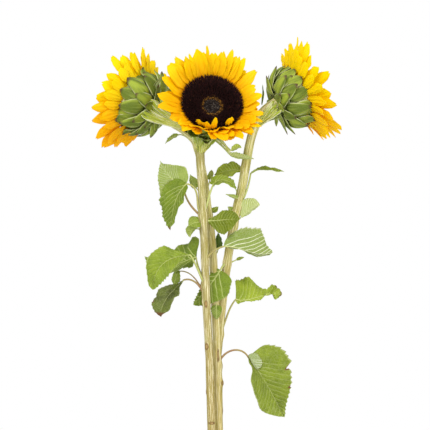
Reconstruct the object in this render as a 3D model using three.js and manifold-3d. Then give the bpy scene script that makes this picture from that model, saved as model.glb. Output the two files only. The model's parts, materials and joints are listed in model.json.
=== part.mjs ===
// Three sunflowers growing as one clump: a foot, three stems with their necks, three flower
// heads and the leaves. Millimetres, +Z up, the flat underside of the foot at the origin.
// The clump is looked at from -Y: +X is to the right and +Y is away.
import * as THREE from 'three';
import { mergeVertices } from 'three/addons/utils/BufferGeometryUtils.js';
import Module from 'manifold-3d';

const wasm = await Module();
wasm.setup();

// ---------- driving dimensions ----------

const gap = 0.35;              // clear space between pieces that touch on the plant
const sliver = 0.03;           // edges shorter than this are closed up after a cut
const stemSides = 8;
const stemSteps = 12;
const neckSteps = 6;
const headSides = 16;

const foot = {
  top: 14.5,
  radius: 24,                  // at the flat cut, along Y
  waist: 18,
  narrow: 0.82,                // width along X against the width along Y
  buttress: 0.09,              // depth of the root lobes at the ground
  lobes: 5,
  sides: 20,
  x: 0.5,
  y: 1,
};

const headSize = {
  depth: 31,                   // rim plane back to the end of the neck
  rim: 37,
  discRadius: 35.3,
  discRidge: 24,               // circle of open florets, the highest part of the disc
  discRise: 9,
  eyeRadius: 13,
  eyeRise: 4,
  rayThickness: 1.1,
  rayValley: 0.76,             // how far out neighbouring rays stay joined in their solid
};

const bladeSize = { thickness: 0.8, leastHalf: 0.7, lobeReach: 0.13 };

// Routes of the stems, from the foot up to where each neck starts.
const stems = {
  front: {
    radii: [5.3, 4.4, 4.9],
    route: [
      [-4, -10, 15], [-4, -11, 73], [-6.5, -9, 157], [-10, -6, 216], [-12.5, -3, 294],
      [-15, -2, 348], [-17.5, -2, 396],
    ],
  },
  left: {
    radii: [5.3, 4.5, 4.3],
    route: [
      [4.5, 1.5, 15], [4, 2, 71], [3, 6, 155], [0.5, 11, 215], [-3.5, 14, 293],
      [-9, 13, 342], [-16.5, 11, 390], [-21.5, 10, 412],
    ],
  },
  right: {
    radii: [5.2, 4.9, 5.0],
    route: [
      [-2, 12.8, 15], [-1.5, 14, 70], [2.5, 19, 160], [8.5, 21, 221], [16, 20, 281],
      [26.5, 17, 338], [33, 15, 366], [41, 10, 412],
    ],
  },
};

// Flower heads. heading: 0 faces +X and -90 the viewer; pitch: how far the face looks up.
const heads = {
  front: {
    at: [-4, -23, 461], heading: -82, pitch: 25,
    neck: { radii: [4.9, 5.4], across: [1, 0, 0] },
    neckRoute: [[-18, 0, 410.5], [-15.5, 6, 426], [-10.5, 9, 439]],
    // clock angle from the right, length, half width, lean from the axis
    rays: [
      [0, 34, 6, 40], [15, 28, 6, 40], [32, 38, 6, 50], [50, 40, 5, 50], [58, 38, 5, 50], [66, 42, 4, 50],
      [76, 38, 6, 45], [86, 36, 6, 40], [94, 44, 2, 40], [105, 40, 7, 45], [116, 38, 3, 45],
      [124, 38, 6, 40], [132, 42, 6, 50], [142, 40, 8, 50], [160, 38, 8, 55], [185, 48, 6, 45],
      [196, 52, 6, 45], [210, 34, 6, 50], [230, 42, 6, 45], [244, 16, 8, 5], [256, 22, 5, 10],
      [268, 36, 4, 5], [276, 48, 6, 40], [288, 40, 4, 40], [296, 46, 4, 45], [303, 20, 6, 5],
      [310, 44, 4, 50], [319, 44, 4, 50], [328, 40, 5, 50], [338, 36, 4, 50], [350, 30, 6, 45],
    ],
    sectors: [6, 6, 6, 6, 7],
  },
  left: {
    at: [-93.5, 24, 467], heading: 147, pitch: 16,
    neck: { radii: [4.4, 7.0], across: [0, 1, 0] },
    neckRoute: [[-27, 9.5, 423], [-38, 9, 432.5], [-51, 9, 442]],
    rayRule: { count: 30, length: 34, spread: 8, lean: 50, leanSpread: 14, half: 5.6, seed: 3 },
    sectors: [6, 6, 6, 6, 6],
  },
  right: {
    at: [101, 14, 475], heading: 14, pitch: 22,
    neck: { radii: [5.0, 7.5], across: [0, 1, 0] },
    neckRoute: [[45, 9, 427.5], [51, 8, 443], [60, 7, 455]],
    rayRule: { count: 30, length: 36, spread: 8, lean: 52, leanSpread: 14, half: 5.6, seed: 8 },
    sectors: [6, 6, 6, 6, 6],
  },
};

// How blades are cut: how far the halves fold up, where the blade is widest, how fine the tip
// is and how far the lobes reach back. A leaf can state its own value over its cut's.
const cuts = {
  young: { fold: 15, widest: 0.35, tip: 1.1, lobes: 0.04 },
  oval: { fold: 10, widest: 0.45, tip: 1.1, lobes: 0.03 },
  heart: { fold: 15, widest: 0.25, tip: 1.1, lobes: 0.12 },
  broad: { fold: 0, widest: 0.35, tip: 1.3, lobes: 0.05 },
  flat: { fold: 0, widest: 0.3, tip: 0.8, lobes: 0.02 },
  spoon: { fold: 5, widest: 0.6, tip: 1.1, lobes: 0.04 },
  square: { fold: 20, widest: 0.6, tip: 0.75, lobes: 0.03 },
  creased: { fold: 40, widest: 0.5, tip: 0.95, lobes: 0.05 },
};

// Leaves. height: where the stalk leaves its stem; heading: 0 is +X, 90 is away.
// stalk: length, then pitch at its start, middle and end, then the change of heading.
// blade: length and the two half widths; pitch, roll and turn run along the blade.
const leaves = {
  leaf_bract_right: {
    stem: 'front', height: 430, heading: -10, stalk: [42, -30, -40, -50, 5],
    cut: 'young', blade: [30, 5, 5], pitch: [-15, -10, -10], turn: 0, roll: [50, 50],
  },
  leaf_bract_curl: {
    stem: 'front', height: 420, heading: -10, stalk: [40, 10, -20, -45, 20],
    cut: 'oval', blade: [14, 6, 4], pitch: [25, 25, -35], turn: 5, roll: [45, 45],
  },
  leaf_neck_left: {
    stem: 'left', height: 410, heading: 175, stalk: [30, 40, 45, -5, -5],
    cut: 'young', blade: [20, 5, 4], pitch: [-10, -35, -45], turn: 0, roll: [-30, -30],
  },
  leaf_high_right: {
    stem: 'right', height: 385, heading: 170, stalk: [5, -5, -30, -10, -10],
    cut: 'oval', blade: [36, 12, 13], pitch: [20, -10, -20], turn: 0, roll: [40, 70],
  },
  leaf_high_small: {
    stem: 'left', height: 355, heading: 50, stalk: [20, 75, 60, 70, 15],
    cut: 'young', blade: [13, 8, 5], pitch: [70, 70, 65], turn: 5, roll: [25, 25],
  },
  leaf_high_left_small: {
    stem: 'left', height: 350, heading: 170, stalk: [18, 55, 40, 55, 5],
    cut: 'young', blade: [18, 7, 7], pitch: [60, 65, 80], turn: 0, roll: [-60, -60],
  },
  leaf_small_right: {
    stem: 'right', height: 350, heading: -100, stalk: [7, 15, 0, 10, -20],
    cut: 'young', blade: [18, 4, 4], pitch: [10, 15, 20], turn: -55, roll: [-30, -30],
  },
  leaf_slender_right: {
    stem: 'right', height: 340, heading: -10, stalk: [44, 45, 70, 80, -5],
    cut: 'young', blade: [43, 10, 6], pitch: [45, -5, 0], turn: 0, roll: [-15, -30],
  },
  leaf_high_middle: {
    stem: 'front', height: 330, heading: -10, stalk: [38, 65, 75, 65, 5],
    cut: 'heart', blade: [38, 12, 8], pitch: [60, -20, -75], turn: 0, roll: [-35, -45],
  },
  leaf_inner_small: {
    stem: 'right', height: 330, heading: 175, stalk: [6, 40, 40, 40, 10],
    cut: 'young', blade: [8, 5, 5], pitch: [60, 55, 20], turn: 0, roll: [-40, -40],
  },
  leaf_behind_small: {
    stem: 'left', height: 330, heading: 15, stalk: [5, 40, 40, 40, 5],
    cut: 'young', blade: [11, 6, 4], pitch: [45, 40, 35], turn: 0, roll: [-40, -40],
  },
  leaf_high_left: {
    stem: 'front', height: 327, heading: 175, stalk: [44, 35, 55, 85, -5],
    cut: 'broad', blade: [45, 27, 23], pitch: [35, 45, 75], turn: -10, roll: [-80, -55],
  },
  leaf_high_left_front: {
    stem: 'front', height: 328, heading: 190, stalk: [48, 35, 85, -5, -10],
    cut: 'young', blade: [60, 22, 13], pitch: [-40, -75, -80], turn: -10, roll: [60, 55],
  },
  leaf_mid_right_front: {
    stem: 'front', height: 323, heading: -20, stalk: [4, 10, 0, 0, 10],
    cut: 'spoon', blade: [41, 21, 13], pitch: [0, 5, 0], turn: -15, roll: [-75, -55],
  },
  leaf_mid_left_front: {
    stem: 'front', height: 320, heading: 210, stalk: [4, 10, 10, 10, 5],
    cut: 'oval', blade: [19, 9, 9], pitch: [20, -15, -25], turn: 0, roll: [55, 50],
  },
  leaf_folded_right: {
    stem: 'right', height: 317, heading: 0, stalk: [14, 55, 45, 55, 10],
    cut: 'square', widest: 0.5, blade: [28, 17, 10], pitch: [40, 35, 15], turn: 5, roll: [50, 45],
  },
  leaf_mid_left_curled: {
    stem: 'front', height: 312, heading: 165, stalk: [8, 10, 10, 10, -20],
    cut: 'oval', blade: [19, 3, 8], pitch: [15, -40, -105], turn: -5, roll: [-10, -60],
  },
  leaf_mid_right_large: {
    stem: 'front', height: 275, heading: -20, stalk: [31, 60, 35, 15, -5],
    cut: 'creased', blade: [66, 29, 9], pitch: [5, -15, 25], turn: -5, roll: [55, 75],
  },
  leaf_behind_stems: {
    stem: 'left', height: 275, heading: 50, stalk: [17, 65, 45, 65, 10],
    cut: 'young', blade: [22, 10, 5], pitch: [70, 95, 105], turn: 5, roll: [20, 20],
  },
  leaf_between_stems: {
    stem: 'right', height: 273, heading: 225, stalk: [15, -20, -40, -50, 0],
    cut: 'flat', blade: [55, 8, 25], pitch: [-50, -50, -50], turn: -60, roll: [55, 100],
  },
  leaf_mid_right_small: {
    stem: 'right', height: 270, heading: -5, stalk: [13, 30, 25, 30, 0],
    cut: 'young', blade: [10, 4, 3], pitch: [15, 20, 15], turn: 0, roll: [-40, -40],
  },
  leaf_low_left_behind: {
    stem: 'front', height: 246, heading: 155, stalk: [36, 65, 65, 80, -15],
    cut: 'heart', blade: [86, 29, 21], pitch: [-10, -10, 55], turn: 5, roll: [55, 35],
  },
  leaf_low_left_large: {
    stem: 'front', height: 244, heading: 200, stalk: [43, 60, 65, 55, 5],
    cut: 'square', blade: [78, 19, 16], pitch: [0, -30, -90], turn: 40, roll: [30, 65],
  },
  leaf_low_left_small: {
    stem: 'front', height: 235, heading: 170, stalk: [44, 50, 50, -5, 0],
    cut: 'oval', blade: [20, 6, 10], pitch: [-25, -75, -65], turn: 5, roll: [45, 65],
  },
  leaf_between_low: {
    stem: 'left', height: 224, heading: -75, stalk: [7, 0, -20, -60, 0],
    cut: 'flat', blade: [17, 7, 7], pitch: [-85, -85, -85], turn: 0, roll: [0, 0],
  },
  leaf_low_left_hanging: {
    stem: 'front', height: 227, heading: 185, stalk: [42, 70, 50, -20, 10],
    cut: 'spoon', blade: [54, 21, 17], pitch: [-45, -50, -95], turn: 15, roll: [10, 20],
  },
  leaf_low_right_curled: {
    stem: 'right', height: 185, heading: 5, stalk: [48, 55, 70, 45, 15],
    cut: 'flat', tip: 0.6, lobes: 0.06, waist: [0.7, 0.65, 0.12],
    blade: [60, 4, 29], pitch: [-15, 15, -20], turn: -5, roll: [-60, -55],
  },
  leaf_lowest_right: {
    stem: 'left', height: 148, heading: -5, stalk: [50, 75, 20, -65, 10],
    cut: 'creased', fold: 35, widest: 0.3,
    blade: [84, 34, 39], pitch: [-50, -60, -60], turn: -25, roll: [-40, -85],
  },
};
const largeBlade = 30;         // blades at least this long get the finer grid

// ---------- small helpers ----------

const vec = (p) => new THREE.Vector3(p[0], p[1], p[2]);
const up = new THREE.Vector3(0, 0, 1);

function direction(heading, pitch) {
  const h = THREE.MathUtils.degToRad(heading);
  const p = THREE.MathUtils.degToRad(pitch);
  return new THREE.Vector3(Math.cos(p) * Math.cos(h), Math.cos(p) * Math.sin(h), Math.sin(p));
}

// value at t of the curve through a start, a middle and an end value
function along(values, t) {
  const [a, b, c] = values;
  return a * (1 - t) * (1 - 2 * t) + b * 4 * t * (1 - t) + c * t * (2 * t - 1);
}

// repeatable scatter between 0 and 1
function chance(index, seed) {
  const value = Math.sin(index * 12.9898 + seed * 78.233) * 43758.5453;
  return value - Math.floor(value);
}

function toSolid(geometry) {
  const bare = geometry.clone();
  bare.deleteAttribute('normal');
  bare.deleteAttribute('uv');
  const merged = mergeVertices(bare, 1e-4);
  const mesh = new wasm.Mesh({
    numProp: 3,
    vertProperties: new Float32Array(merged.attributes.position.array),
    triVerts: new Uint32Array(merged.index.array),
  });
  return new wasm.Manifold(mesh);
}

function toGeometry(solid) {
  const mesh = solid.getMesh();
  const geometry = new THREE.BufferGeometry();
  const places = new Float32Array(mesh.vertProperties);
  geometry.setAttribute('position', new THREE.BufferAttribute(places, 3));
  geometry.setIndex(new THREE.BufferAttribute(new Uint32Array(mesh.triVerts), 1));
  geometry.computeVertexNormals();
  return geometry;
}

function finish(color, roughness) {
  return new THREE.MeshStandardMaterial({ color, roughness, metalness: 0 });
}

function piece(name, geometry, material) {
  const mesh = new THREE.Mesh(geometry, material);
  mesh.name = name;
  return mesh;
}

// round limb along points: a cylinder whose rings are moved onto the route
function limb(points, radiusAt, sides, steps, axisAt, across) {
  const route = new THREE.CatmullRomCurve3(points);
  const geometry = new THREE.CylinderGeometry(1, 1, 1, sides, steps);
  const position = geometry.attributes.position;
  for (let i = 0; i < position.count; i += 1) {
    const t = position.getY(i) + 0.5;
    const axis = axisAt(t, route.getTangent(t));
    const a = across.clone().addScaledVector(axis, -across.dot(axis)).normalize();
    const b = new THREE.Vector3().crossVectors(a, axis);
    const place = route.getPoint(t);
    place.addScaledVector(a, position.getX(i) * radiusAt(t));
    place.addScaledVector(b, position.getZ(i) * radiusAt(t));
    position.setXYZ(i, place.x, place.y, place.z);
  }
  return geometry;
}

// ---------- foot, stems and necks ----------

// crown of the roots: it flares towards the flat cut, and its lobes fade out above
function footGeometry() {
  const { top, radius, waist } = foot;
  const flare = (h) => waist + (radius - waist) * (1 - h) ** 2;
  const profile = [new THREE.Vector2(0, 0)];
  [0, 0.15, 0.35, 0.6, 0.85].forEach((h) => profile.push(new THREE.Vector2(flare(h), top * h)));
  profile.push(new THREE.Vector2(waist - 1.5, top), new THREE.Vector2(0, top));
  const geometry = new THREE.LatheGeometry(profile, foot.sides);
  geometry.rotateX(Math.PI / 2);
  const position = geometry.attributes.position;
  for (let i = 0; i < position.count; i += 1) {
    const angle = Math.atan2(position.getY(i), position.getX(i));
    const lobe = 1 + foot.buttress * (1 - position.getZ(i) / top) * Math.cos(foot.lobes * angle);
    position.setX(i, position.getX(i) * lobe * foot.narrow + foot.x);
    position.setY(i, position.getY(i) * lobe + foot.y);
  }
  return geometry;
}

function stemPoints(stem) {
  const points = stem.route.map(vec);
  points[0].z = foot.top + gap;
  return points;
}

// level rings, so that the stem stands flat on the foot and the neck flat on the stem
function stemGeometry(stem, clearance) {
  const radiusAt = (t) => along(stem.radii, t) + clearance;
  return limb(stemPoints(stem), radiusAt, stemSides, stemSteps, () => up, new THREE.Vector3(1, 0, 0));
}

function neckPoints(name) {
  const flower = heads[name];
  const stemTop = vec(stems[name].route.at(-1));
  stemTop.z += gap;
  const facing = direction(flower.heading, flower.pitch);
  const end = vec(flower.at).addScaledVector(facing, -headSize.depth - gap);
  return [stemTop, ...flower.neckRoute.map(vec), end];
}

function neckGeometry(name, clearance) {
  const flower = heads[name];
  const facing = direction(flower.heading, flower.pitch);
  const [low, high] = flower.neck.radii;
  const radiusAt = (t) => low + (high - low) * t + clearance;
  const axisAt = (t, tangent) => {
    const fromLevel = Math.min(1, t * 4);
    const toHead = Math.max(0, (t - 0.65) / 0.35);
    const axis = up.clone().lerp(tangent, fromLevel).normalize();
    return axis.lerp(facing, toHead).normalize();
  };
  return limb(neckPoints(name), radiusAt, stemSides, neckSteps, axisAt, vec(flower.neck.across));
}

// ---------- flower heads ----------
// In a head's own frame +Y is the way it faces and +X its right side.

function headGroup(name) {
  const flower = heads[name];
  const facing = direction(flower.heading, flower.pitch);
  const right = new THREE.Vector3().crossVectors(up, facing).normalize();
  const down = new THREE.Vector3().crossVectors(right, facing);
  const group = new THREE.Group();
  group.quaternion.setFromRotationMatrix(new THREE.Matrix4().makeBasis(right, facing, down));
  group.position.copy(vec(flower.at));
  return group;
}

function baseGeometry(neckRadius) {
  const { depth, rim } = headSize;
  const profile = [
    new THREE.Vector2(0, -depth),
    new THREE.Vector2(neckRadius, -depth),
    new THREE.Vector2(rim * 0.32, -depth * 0.95),
    new THREE.Vector2(rim * 0.64, -depth * 0.87),
    new THREE.Vector2(rim * 0.86, -depth * 0.7),
    new THREE.Vector2(rim, -depth * 0.38),
    new THREE.Vector2(rim, 0),
    new THREE.Vector2(0, 0),
  ];
  return new THREE.LatheGeometry(profile, headSides);
}

function discGeometry() {
  const { discRadius, discRidge, discRise, eyeRadius, eyeRise } = headSize;
  const profile = [
    new THREE.Vector2(0, gap),
    new THREE.Vector2(discRadius - 2, gap),
    new THREE.Vector2(discRadius, gap + 3),
    new THREE.Vector2((discRadius + discRidge) / 2 + 1, discRise * 0.85),
    new THREE.Vector2(discRidge, discRise),
    new THREE.Vector2(eyeRadius, eyeRise),
    new THREE.Vector2(0, eyeRise - 1),
  ];
  return new THREE.LatheGeometry(profile, headSides);
}

function headRays(flower) {
  if (flower.rays) {
    return flower.rays;
  }
  const { count, length, spread, lean, leanSpread, half, seed } = flower.rayRule;
  const rays = [];
  for (let i = 0; i < count; i += 1) {
    const clock = (360 / count) * (i + 0.6 * (chance(i, seed) - 0.5));
    const ownLean = lean + leanSpread * (chance(i, seed + 1) - 0.5);
    const ownLength = length + spread * (chance(i, seed + 2) - 0.5);
    rays.push([clock, ownLength, half * (0.8 + 0.4 * chance(i, seed + 3)), ownLean]);
  }
  return rays;
}

// tips and the valleys between them, round the rim
function rayStations(rays) {
  const stations = [];
  rays.forEach((ray, i) => {
    const next = rays[(i + 1) % rays.length];
    const nextClock = next[0] > ray[0] ? next[0] : next[0] + 360;
    stations.push({ clock: ray[0], length: ray[1], lean: ray[3] });
    stations.push({
      clock: (ray[0] + nextClock) / 2,
      length: headSize.rayValley * Math.min(ray[1], next[1]),
      lean: (ray[3] + next[3]) / 2,
    });
  });
  return stations;
}

// one fan of rays from valley to valley, as a thin blade standing on the rim
function fanGeometry(stations) {
  const steps = stations.length - 1;
  const margin = THREE.MathUtils.radToDeg(gap / headSize.rim) / 2;
  const geometry = new THREE.BoxGeometry(1, 1, 1, steps);
  const position = geometry.attributes.position;
  for (let i = 0; i < position.count; i += 1) {
    const index = Math.round((0.5 - position.getX(i)) * steps);
    const { length, lean, clock } = stations[index];
    const inward = index === 0 ? margin : index === steps ? -margin : 0;
    const angle = THREE.MathUtils.degToRad(clock + inward);
    const tilt = THREE.MathUtils.degToRad(lean);
    const out = new THREE.Vector3(Math.cos(angle), 0, -Math.sin(angle));
    const reach = (position.getZ(i) + 0.5) * length;
    const inside = (0.5 - position.getY(i)) * headSize.rayThickness;
    const outward = headSize.rim + reach * Math.sin(tilt) - inside * Math.cos(tilt);
    const place = out.multiplyScalar(outward);
    place.y = gap + reach * Math.cos(tilt) + inside * Math.sin(tilt);
    position.setXYZ(i, place.x, place.y, place.z);
  }
  return geometry;
}

function buildHead(name) {
  const flower = heads[name];
  const group = headGroup(name);
  group.add(piece(`head_${name}_base`, baseGeometry(flower.neck.radii[1]), finish('#7c8b2b', 0.8)));
  group.add(piece(`head_${name}_disc`, discGeometry(), finish('#230f0e', 0.95)));
  const stations = rayStations(headRays(flower));
  let first = 0;
  flower.sectors.forEach((count, s) => {
    const fan = [];
    for (let k = 2 * first - 1; k < 2 * (first + count); k += 1) {
      const station = stations[(k + stations.length) % stations.length];
      const turns = k < 0 ? -360 : 0;
      fan.push({ ...station, clock: station.clock + turns });
    }
    group.add(piece(`head_${name}_rays_${s + 1}`, fanGeometry(fan), finish('#fdbe02', 0.6)));
    first += count;
  });
  return group;
}

// ---------- leaves ----------

// stations of the stalk and the blade, walked from the stem's middle
function leafPath(leaf, bladeSteps) {
  const above = neckPoints(leaf.stem).slice(1);
  const stem = new THREE.CatmullRomCurve3([...stemPoints(stems[leaf.stem]), ...above]);
  let low = 0;
  let high = 0.985;
  for (let i = 0; i < 24; i += 1) {
    const middle = (low + high) / 2;
    if (stem.getPoint(middle).z < leaf.height) {
      low = middle;
    } else {
      high = middle;
    }
  }
  const place = stem.getPoint(low);
  const [stalkLength, startPitch, middlePitch, endPitch, sweep] = leaf.stalk;
  const stalk = [place.clone()];
  const stalkSteps = 6;
  for (let i = 0; i < stalkSteps; i += 1) {
    const t = (i + 0.5) / stalkSteps;
    const step = direction(leaf.heading + sweep * t, along([startPitch, middlePitch, endPitch], t));
    place.addScaledVector(step, stalkLength / stalkSteps);
    stalk.push(place.clone());
  }
  const heading = leaf.heading + sweep;
  const rib = [];
  for (let i = 0; i <= bladeSteps; i += 1) {
    const v = i / bladeSteps;
    const roll = THREE.MathUtils.degToRad(leaf.roll[0] + (leaf.roll[1] - leaf.roll[0]) * v);
    const forward = direction(heading + leaf.turn * v, along(leaf.pitch, v));
    const level = direction(heading + leaf.turn * v - 90, 0);
    const normal = new THREE.Vector3().crossVectors(level, forward);
    const side = level.clone().multiplyScalar(Math.cos(roll)).addScaledVector(normal, Math.sin(roll));
    const face = normal.multiplyScalar(Math.cos(roll)).addScaledVector(level, -Math.sin(roll));
    rib.push({ place: place.clone(), forward, side, face });
    const middle = (i + 0.5) / bladeSteps;
    const step = direction(heading + leaf.turn * middle, along(leaf.pitch, middle));
    place.addScaledVector(step, leaf.blade[0] / bladeSteps);
  }
  return { stalk, rib };
}

// half width along the blade, 1 at the widest
function bladeOutline(leaf, v) {
  const { widest, tip } = leaf;
  const rise = (tip * widest) / (1 - widest);
  const most = widest ** rise * (1 - widest) ** tip;
  const width = (v ** rise * (1 - v) ** tip) / most;
  if (!leaf.waist) {
    return width;
  }
  const [place, depth, spread] = leaf.waist;
  return width * (1 - depth * Math.exp(-(((v - place) / spread) ** 2)));
}

// cuts each cell of a blade's under face along the diagonal of the cell above it, so that the
// two faces of a twisted blade don't cross
function matchDiagonals(geometry) {
  const { index, groups } = geometry;
  const under = groups[3];
  for (let i = under.start; i < under.start + under.count; i += 6) {
    const [a, b, d] = [index.getX(i), index.getX(i + 1), index.getX(i + 2)];
    const c = index.getX(i + 4);
    [a, b, c, a, c, d].forEach((corner, k) => index.setX(i + k, corner));
  }
}

function bladeGeometry(leaf, rib, across, steps) {
  const geometry = new THREE.BoxGeometry(1, 1, 1, across, 1, steps);
  matchDiagonals(geometry);
  const position = geometry.attributes.position;
  const fold = THREE.MathUtils.degToRad(leaf.fold);
  const [length, rightHalf, leftHalf] = leaf.blade;
  for (let i = 0; i < position.count; i += 1) {
    const u = -2 * position.getX(i);
    const v = position.getZ(i) + 0.5;
    const { place, forward, side, face } = rib[Math.round(v * steps)];
    const half = Math.max(bladeSize.leastHalf, bladeOutline(leaf, v) * (u > 0 ? rightHalf : leftHalf));
    const behind = (v / bladeSize.lobeReach) * Math.exp(1 - v / bladeSize.lobeReach);
    const point = place.clone();
    point.addScaledVector(side, u * half * Math.cos(fold));
    const lift = Math.abs(u) * half * Math.sin(fold);
    point.addScaledVector(face, lift + position.getY(i) * bladeSize.thickness);
    point.addScaledVector(forward, -leaf.lobes * length * behind * Math.abs(u) ** 1.5);
    position.setXYZ(i, point.x, point.y, point.z);
  }
  return geometry;
}

function stalkGeometry(leaf, stalk, rib) {
  const large = leaf.blade[0] >= largeBlade;
  const thick = large ? 1.5 : 1.0;
  const last = rib[1].place.clone().lerp(rib[0].place, 0.4);
  const points = [...stalk, last];
  const radiusAt = (t) => thick * (1 - 0.45 * t);
  const axisAt = (t, tangent) => tangent.normalize();
  const across = direction(leaf.heading + 90, 0);
  return limb(points, radiusAt, 4, large ? 5 : 3, axisAt, across);
}

// cuts the obstacles away, keeps the largest part and drops the slivers that the cuts left
function clearOf(solid, obstacles) {
  let rest = solid;
  obstacles.forEach((obstacle) => {
    rest = rest.subtract(obstacle);
  });
  const parts = rest.decompose();
  parts.sort((a, b) => b.volume() - a.volume());
  return parts[0].simplify(sliver);
}

function leafGeometry(leaf, obstacles) {
  const large = leaf.blade[0] >= largeBlade;
  const steps = large ? 7 : 4;
  const { stalk, rib } = leafPath(leaf, steps);
  const bladeSolid = toSolid(bladeGeometry(leaf, rib, large ? 4 : 2, steps));
  const stalkSolid = toSolid(stalkGeometry(leaf, stalk, rib));
  return toGeometry(clearOf(bladeSolid.add(stalkSolid), obstacles));
}

// ---------- the clump ----------

const group = new THREE.Group();
const stemColor = '#c4b872';
group.add(piece('foot', footGeometry(), finish('#b3a05c', 0.85)));

const obstacles = [];
Object.keys(stems).forEach((name) => {
  group.add(piece(`stem_${name}`, stemGeometry(stems[name], 0), finish(stemColor, 0.7)));
  group.add(piece(`neck_${name}`, neckGeometry(name, 0), finish('#c4c47b', 0.7)));
  group.add(buildHead(name));
  obstacles.push(toSolid(stemGeometry(stems[name], gap)));
  obstacles.push(toSolid(neckGeometry(name, gap)));
});

Object.entries(leaves).forEach(([name, leaf]) => {
  group.add(piece(name, leafGeometry({ ...cuts[leaf.cut], ...leaf }, obstacles), finish('#93a245', 0.65)));
});

export default group;
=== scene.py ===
import json
import math

import bpy
import numpy as np
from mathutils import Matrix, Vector

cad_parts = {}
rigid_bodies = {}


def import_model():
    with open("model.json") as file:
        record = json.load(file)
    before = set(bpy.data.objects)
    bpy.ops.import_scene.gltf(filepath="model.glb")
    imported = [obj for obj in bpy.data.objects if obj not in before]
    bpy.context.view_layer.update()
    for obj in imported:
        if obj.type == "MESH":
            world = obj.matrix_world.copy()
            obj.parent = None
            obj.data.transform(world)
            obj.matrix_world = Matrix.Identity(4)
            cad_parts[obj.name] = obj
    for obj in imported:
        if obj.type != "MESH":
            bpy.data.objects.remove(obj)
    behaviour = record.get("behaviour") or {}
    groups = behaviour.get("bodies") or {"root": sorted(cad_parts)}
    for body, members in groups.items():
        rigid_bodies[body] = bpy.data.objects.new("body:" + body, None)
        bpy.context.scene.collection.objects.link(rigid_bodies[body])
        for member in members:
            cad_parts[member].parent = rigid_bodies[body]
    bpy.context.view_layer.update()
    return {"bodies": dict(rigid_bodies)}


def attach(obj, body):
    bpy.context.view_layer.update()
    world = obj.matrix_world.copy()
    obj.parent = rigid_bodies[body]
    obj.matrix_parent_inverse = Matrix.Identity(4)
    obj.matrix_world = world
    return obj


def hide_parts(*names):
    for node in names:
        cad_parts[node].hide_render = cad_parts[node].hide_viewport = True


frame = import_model()
rootBody = next(iter(frame["bodies"]))
mm = 0.001
print("frame loaded")


# camera, light and floor

view = {
    "eye": (0.0, -2.0, 0.330),
    "fieldDegrees": 14.7,
    "floorRadius": 0.5,
    "floorSides": 96,
    "floorColors": ("#f6f6f4", "#efefed"),
    "skyForLight": 0.88,
    "lightAim": (0.0, 0.0, 0.36),
    # place, size and watts
    "lights": {
        "key light": ((-1.1, -1.7, 1.9), 1.5, 36),
        "fill light": ((1.5, -1.4, 0.7), 1.6, 20),
    },
}


def softLight(name, place, size, watts):
    lamp = bpy.data.lights.new(name, "AREA")
    lamp.shape = "DISK"
    lamp.size = size
    lamp.energy = watts
    holder = bpy.data.objects.new(name, lamp)
    bpy.context.scene.collection.objects.link(holder)
    holder.location = place
    towards = Vector(view["lightAim"]) - Vector(place)
    holder.rotation_euler = towards.to_track_quat("-Z", "Y").to_euler()


def setView():
    scene = bpy.context.scene
    camera = bpy.data.objects.new("camera", bpy.data.cameras.new("camera"))
    scene.collection.objects.link(camera)
    camera.location = view["eye"]
    camera.rotation_euler = (math.radians(90), 0, 0)
    camera.data.angle = math.radians(view["fieldDegrees"])
    scene.camera = camera
    scene.view_settings.view_transform = "Standard"
    for name, (place, size, watts) in view["lights"].items():
        softLight(name, place, size, watts)
    sky = bpy.data.worlds.new("studio white")
    scene.world = sky
    sky.use_nodes = True
    nodes, links = sky.node_tree.nodes, sky.node_tree.links
    rays = nodes.new("ShaderNodeLightPath")
    strength = nodes.new("ShaderNodeMapRange")  # plain white behind, a little softer as light
    strength.inputs["To Min"].default_value = view["skyForLight"]
    strength.inputs["To Max"].default_value = 1.0
    links.new(rays.outputs["Is Camera Ray"], strength.inputs["Value"])
    background = nodes["Background"]
    background.inputs["Color"].default_value = (1, 1, 1, 1)
    links.new(strength.outputs["Result"], background.inputs["Strength"])


setView()


# small helpers for numbers and meshes

def chance(index, seed):
    value = np.sin(index * 12.9898 + seed * 78.233) * 43758.5453
    return value - np.floor(value)


def along(values, t):
    a, b, c = values
    return a * (1 - t) * (1 - 2 * t) + b * 4 * t * (1 - t) + c * t * (2 * t - 1)


def smooth(low, high, value):
    t = np.clip((value - low) / (high - low), 0, 1)
    return t * t * (3 - 2 * t)


def direction(heading, pitch):
    h = np.radians(heading)
    p = np.radians(pitch)
    return np.stack([np.cos(p) * np.cos(h), np.cos(p) * np.sin(h), np.sin(p) + 0 * h], -1)


def unit(vectors):
    return vectors / np.linalg.norm(vectors, axis=-1, keepdims=True)


# a hump of height 1 about a place, by the distance from it and its reach
def bell(far, reach):
    return np.exp(-((far / reach) ** 2))


def ringAngles(sides):
    return np.linspace(0, 2 * np.pi, sides, endpoint=False)


# length walked along a line of points, up to each of them
def walkedAlong(points):
    return np.concatenate([[0], np.cumsum(np.linalg.norm(np.diff(points, axis=0), axis=1))])


# rows of values, read at other places along them
def readAt(way, places, values):
    return np.stack([np.interp(way, places, column) for column in values.T], -1)


# smooth curve through points, at shares t of its way
def routeAt(points, t):
    points = np.asarray(points, float)
    padded = np.vstack([2 * points[0] - points[1], points, 2 * points[-1] - points[-2]])
    steps = len(points) - 1
    way = np.clip(np.atleast_1d(t), 0, 1) * steps
    first = np.minimum(way.astype(int), steps - 1)
    w = (way - first)[:, None]
    a, b, c, d = (padded[first + k] for k in range(4))
    before, here, after = (
        np.sqrt(np.linalg.norm(q - p, axis=1, keepdims=True)) for p, q in ((a, b), (b, c), (c, d))
    )
    leave = ((b - a) / before - (c - a) / (before + here) + (c - b) / here) * here
    reach = ((c - b) / here - (d - b) / (here + after) + (d - c) / after) * here
    return b + leave * w + (3 * (c - b) - 2 * leave - reach) * w**2 + (2 * (b - c) + leave + reach) * w**3


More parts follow.
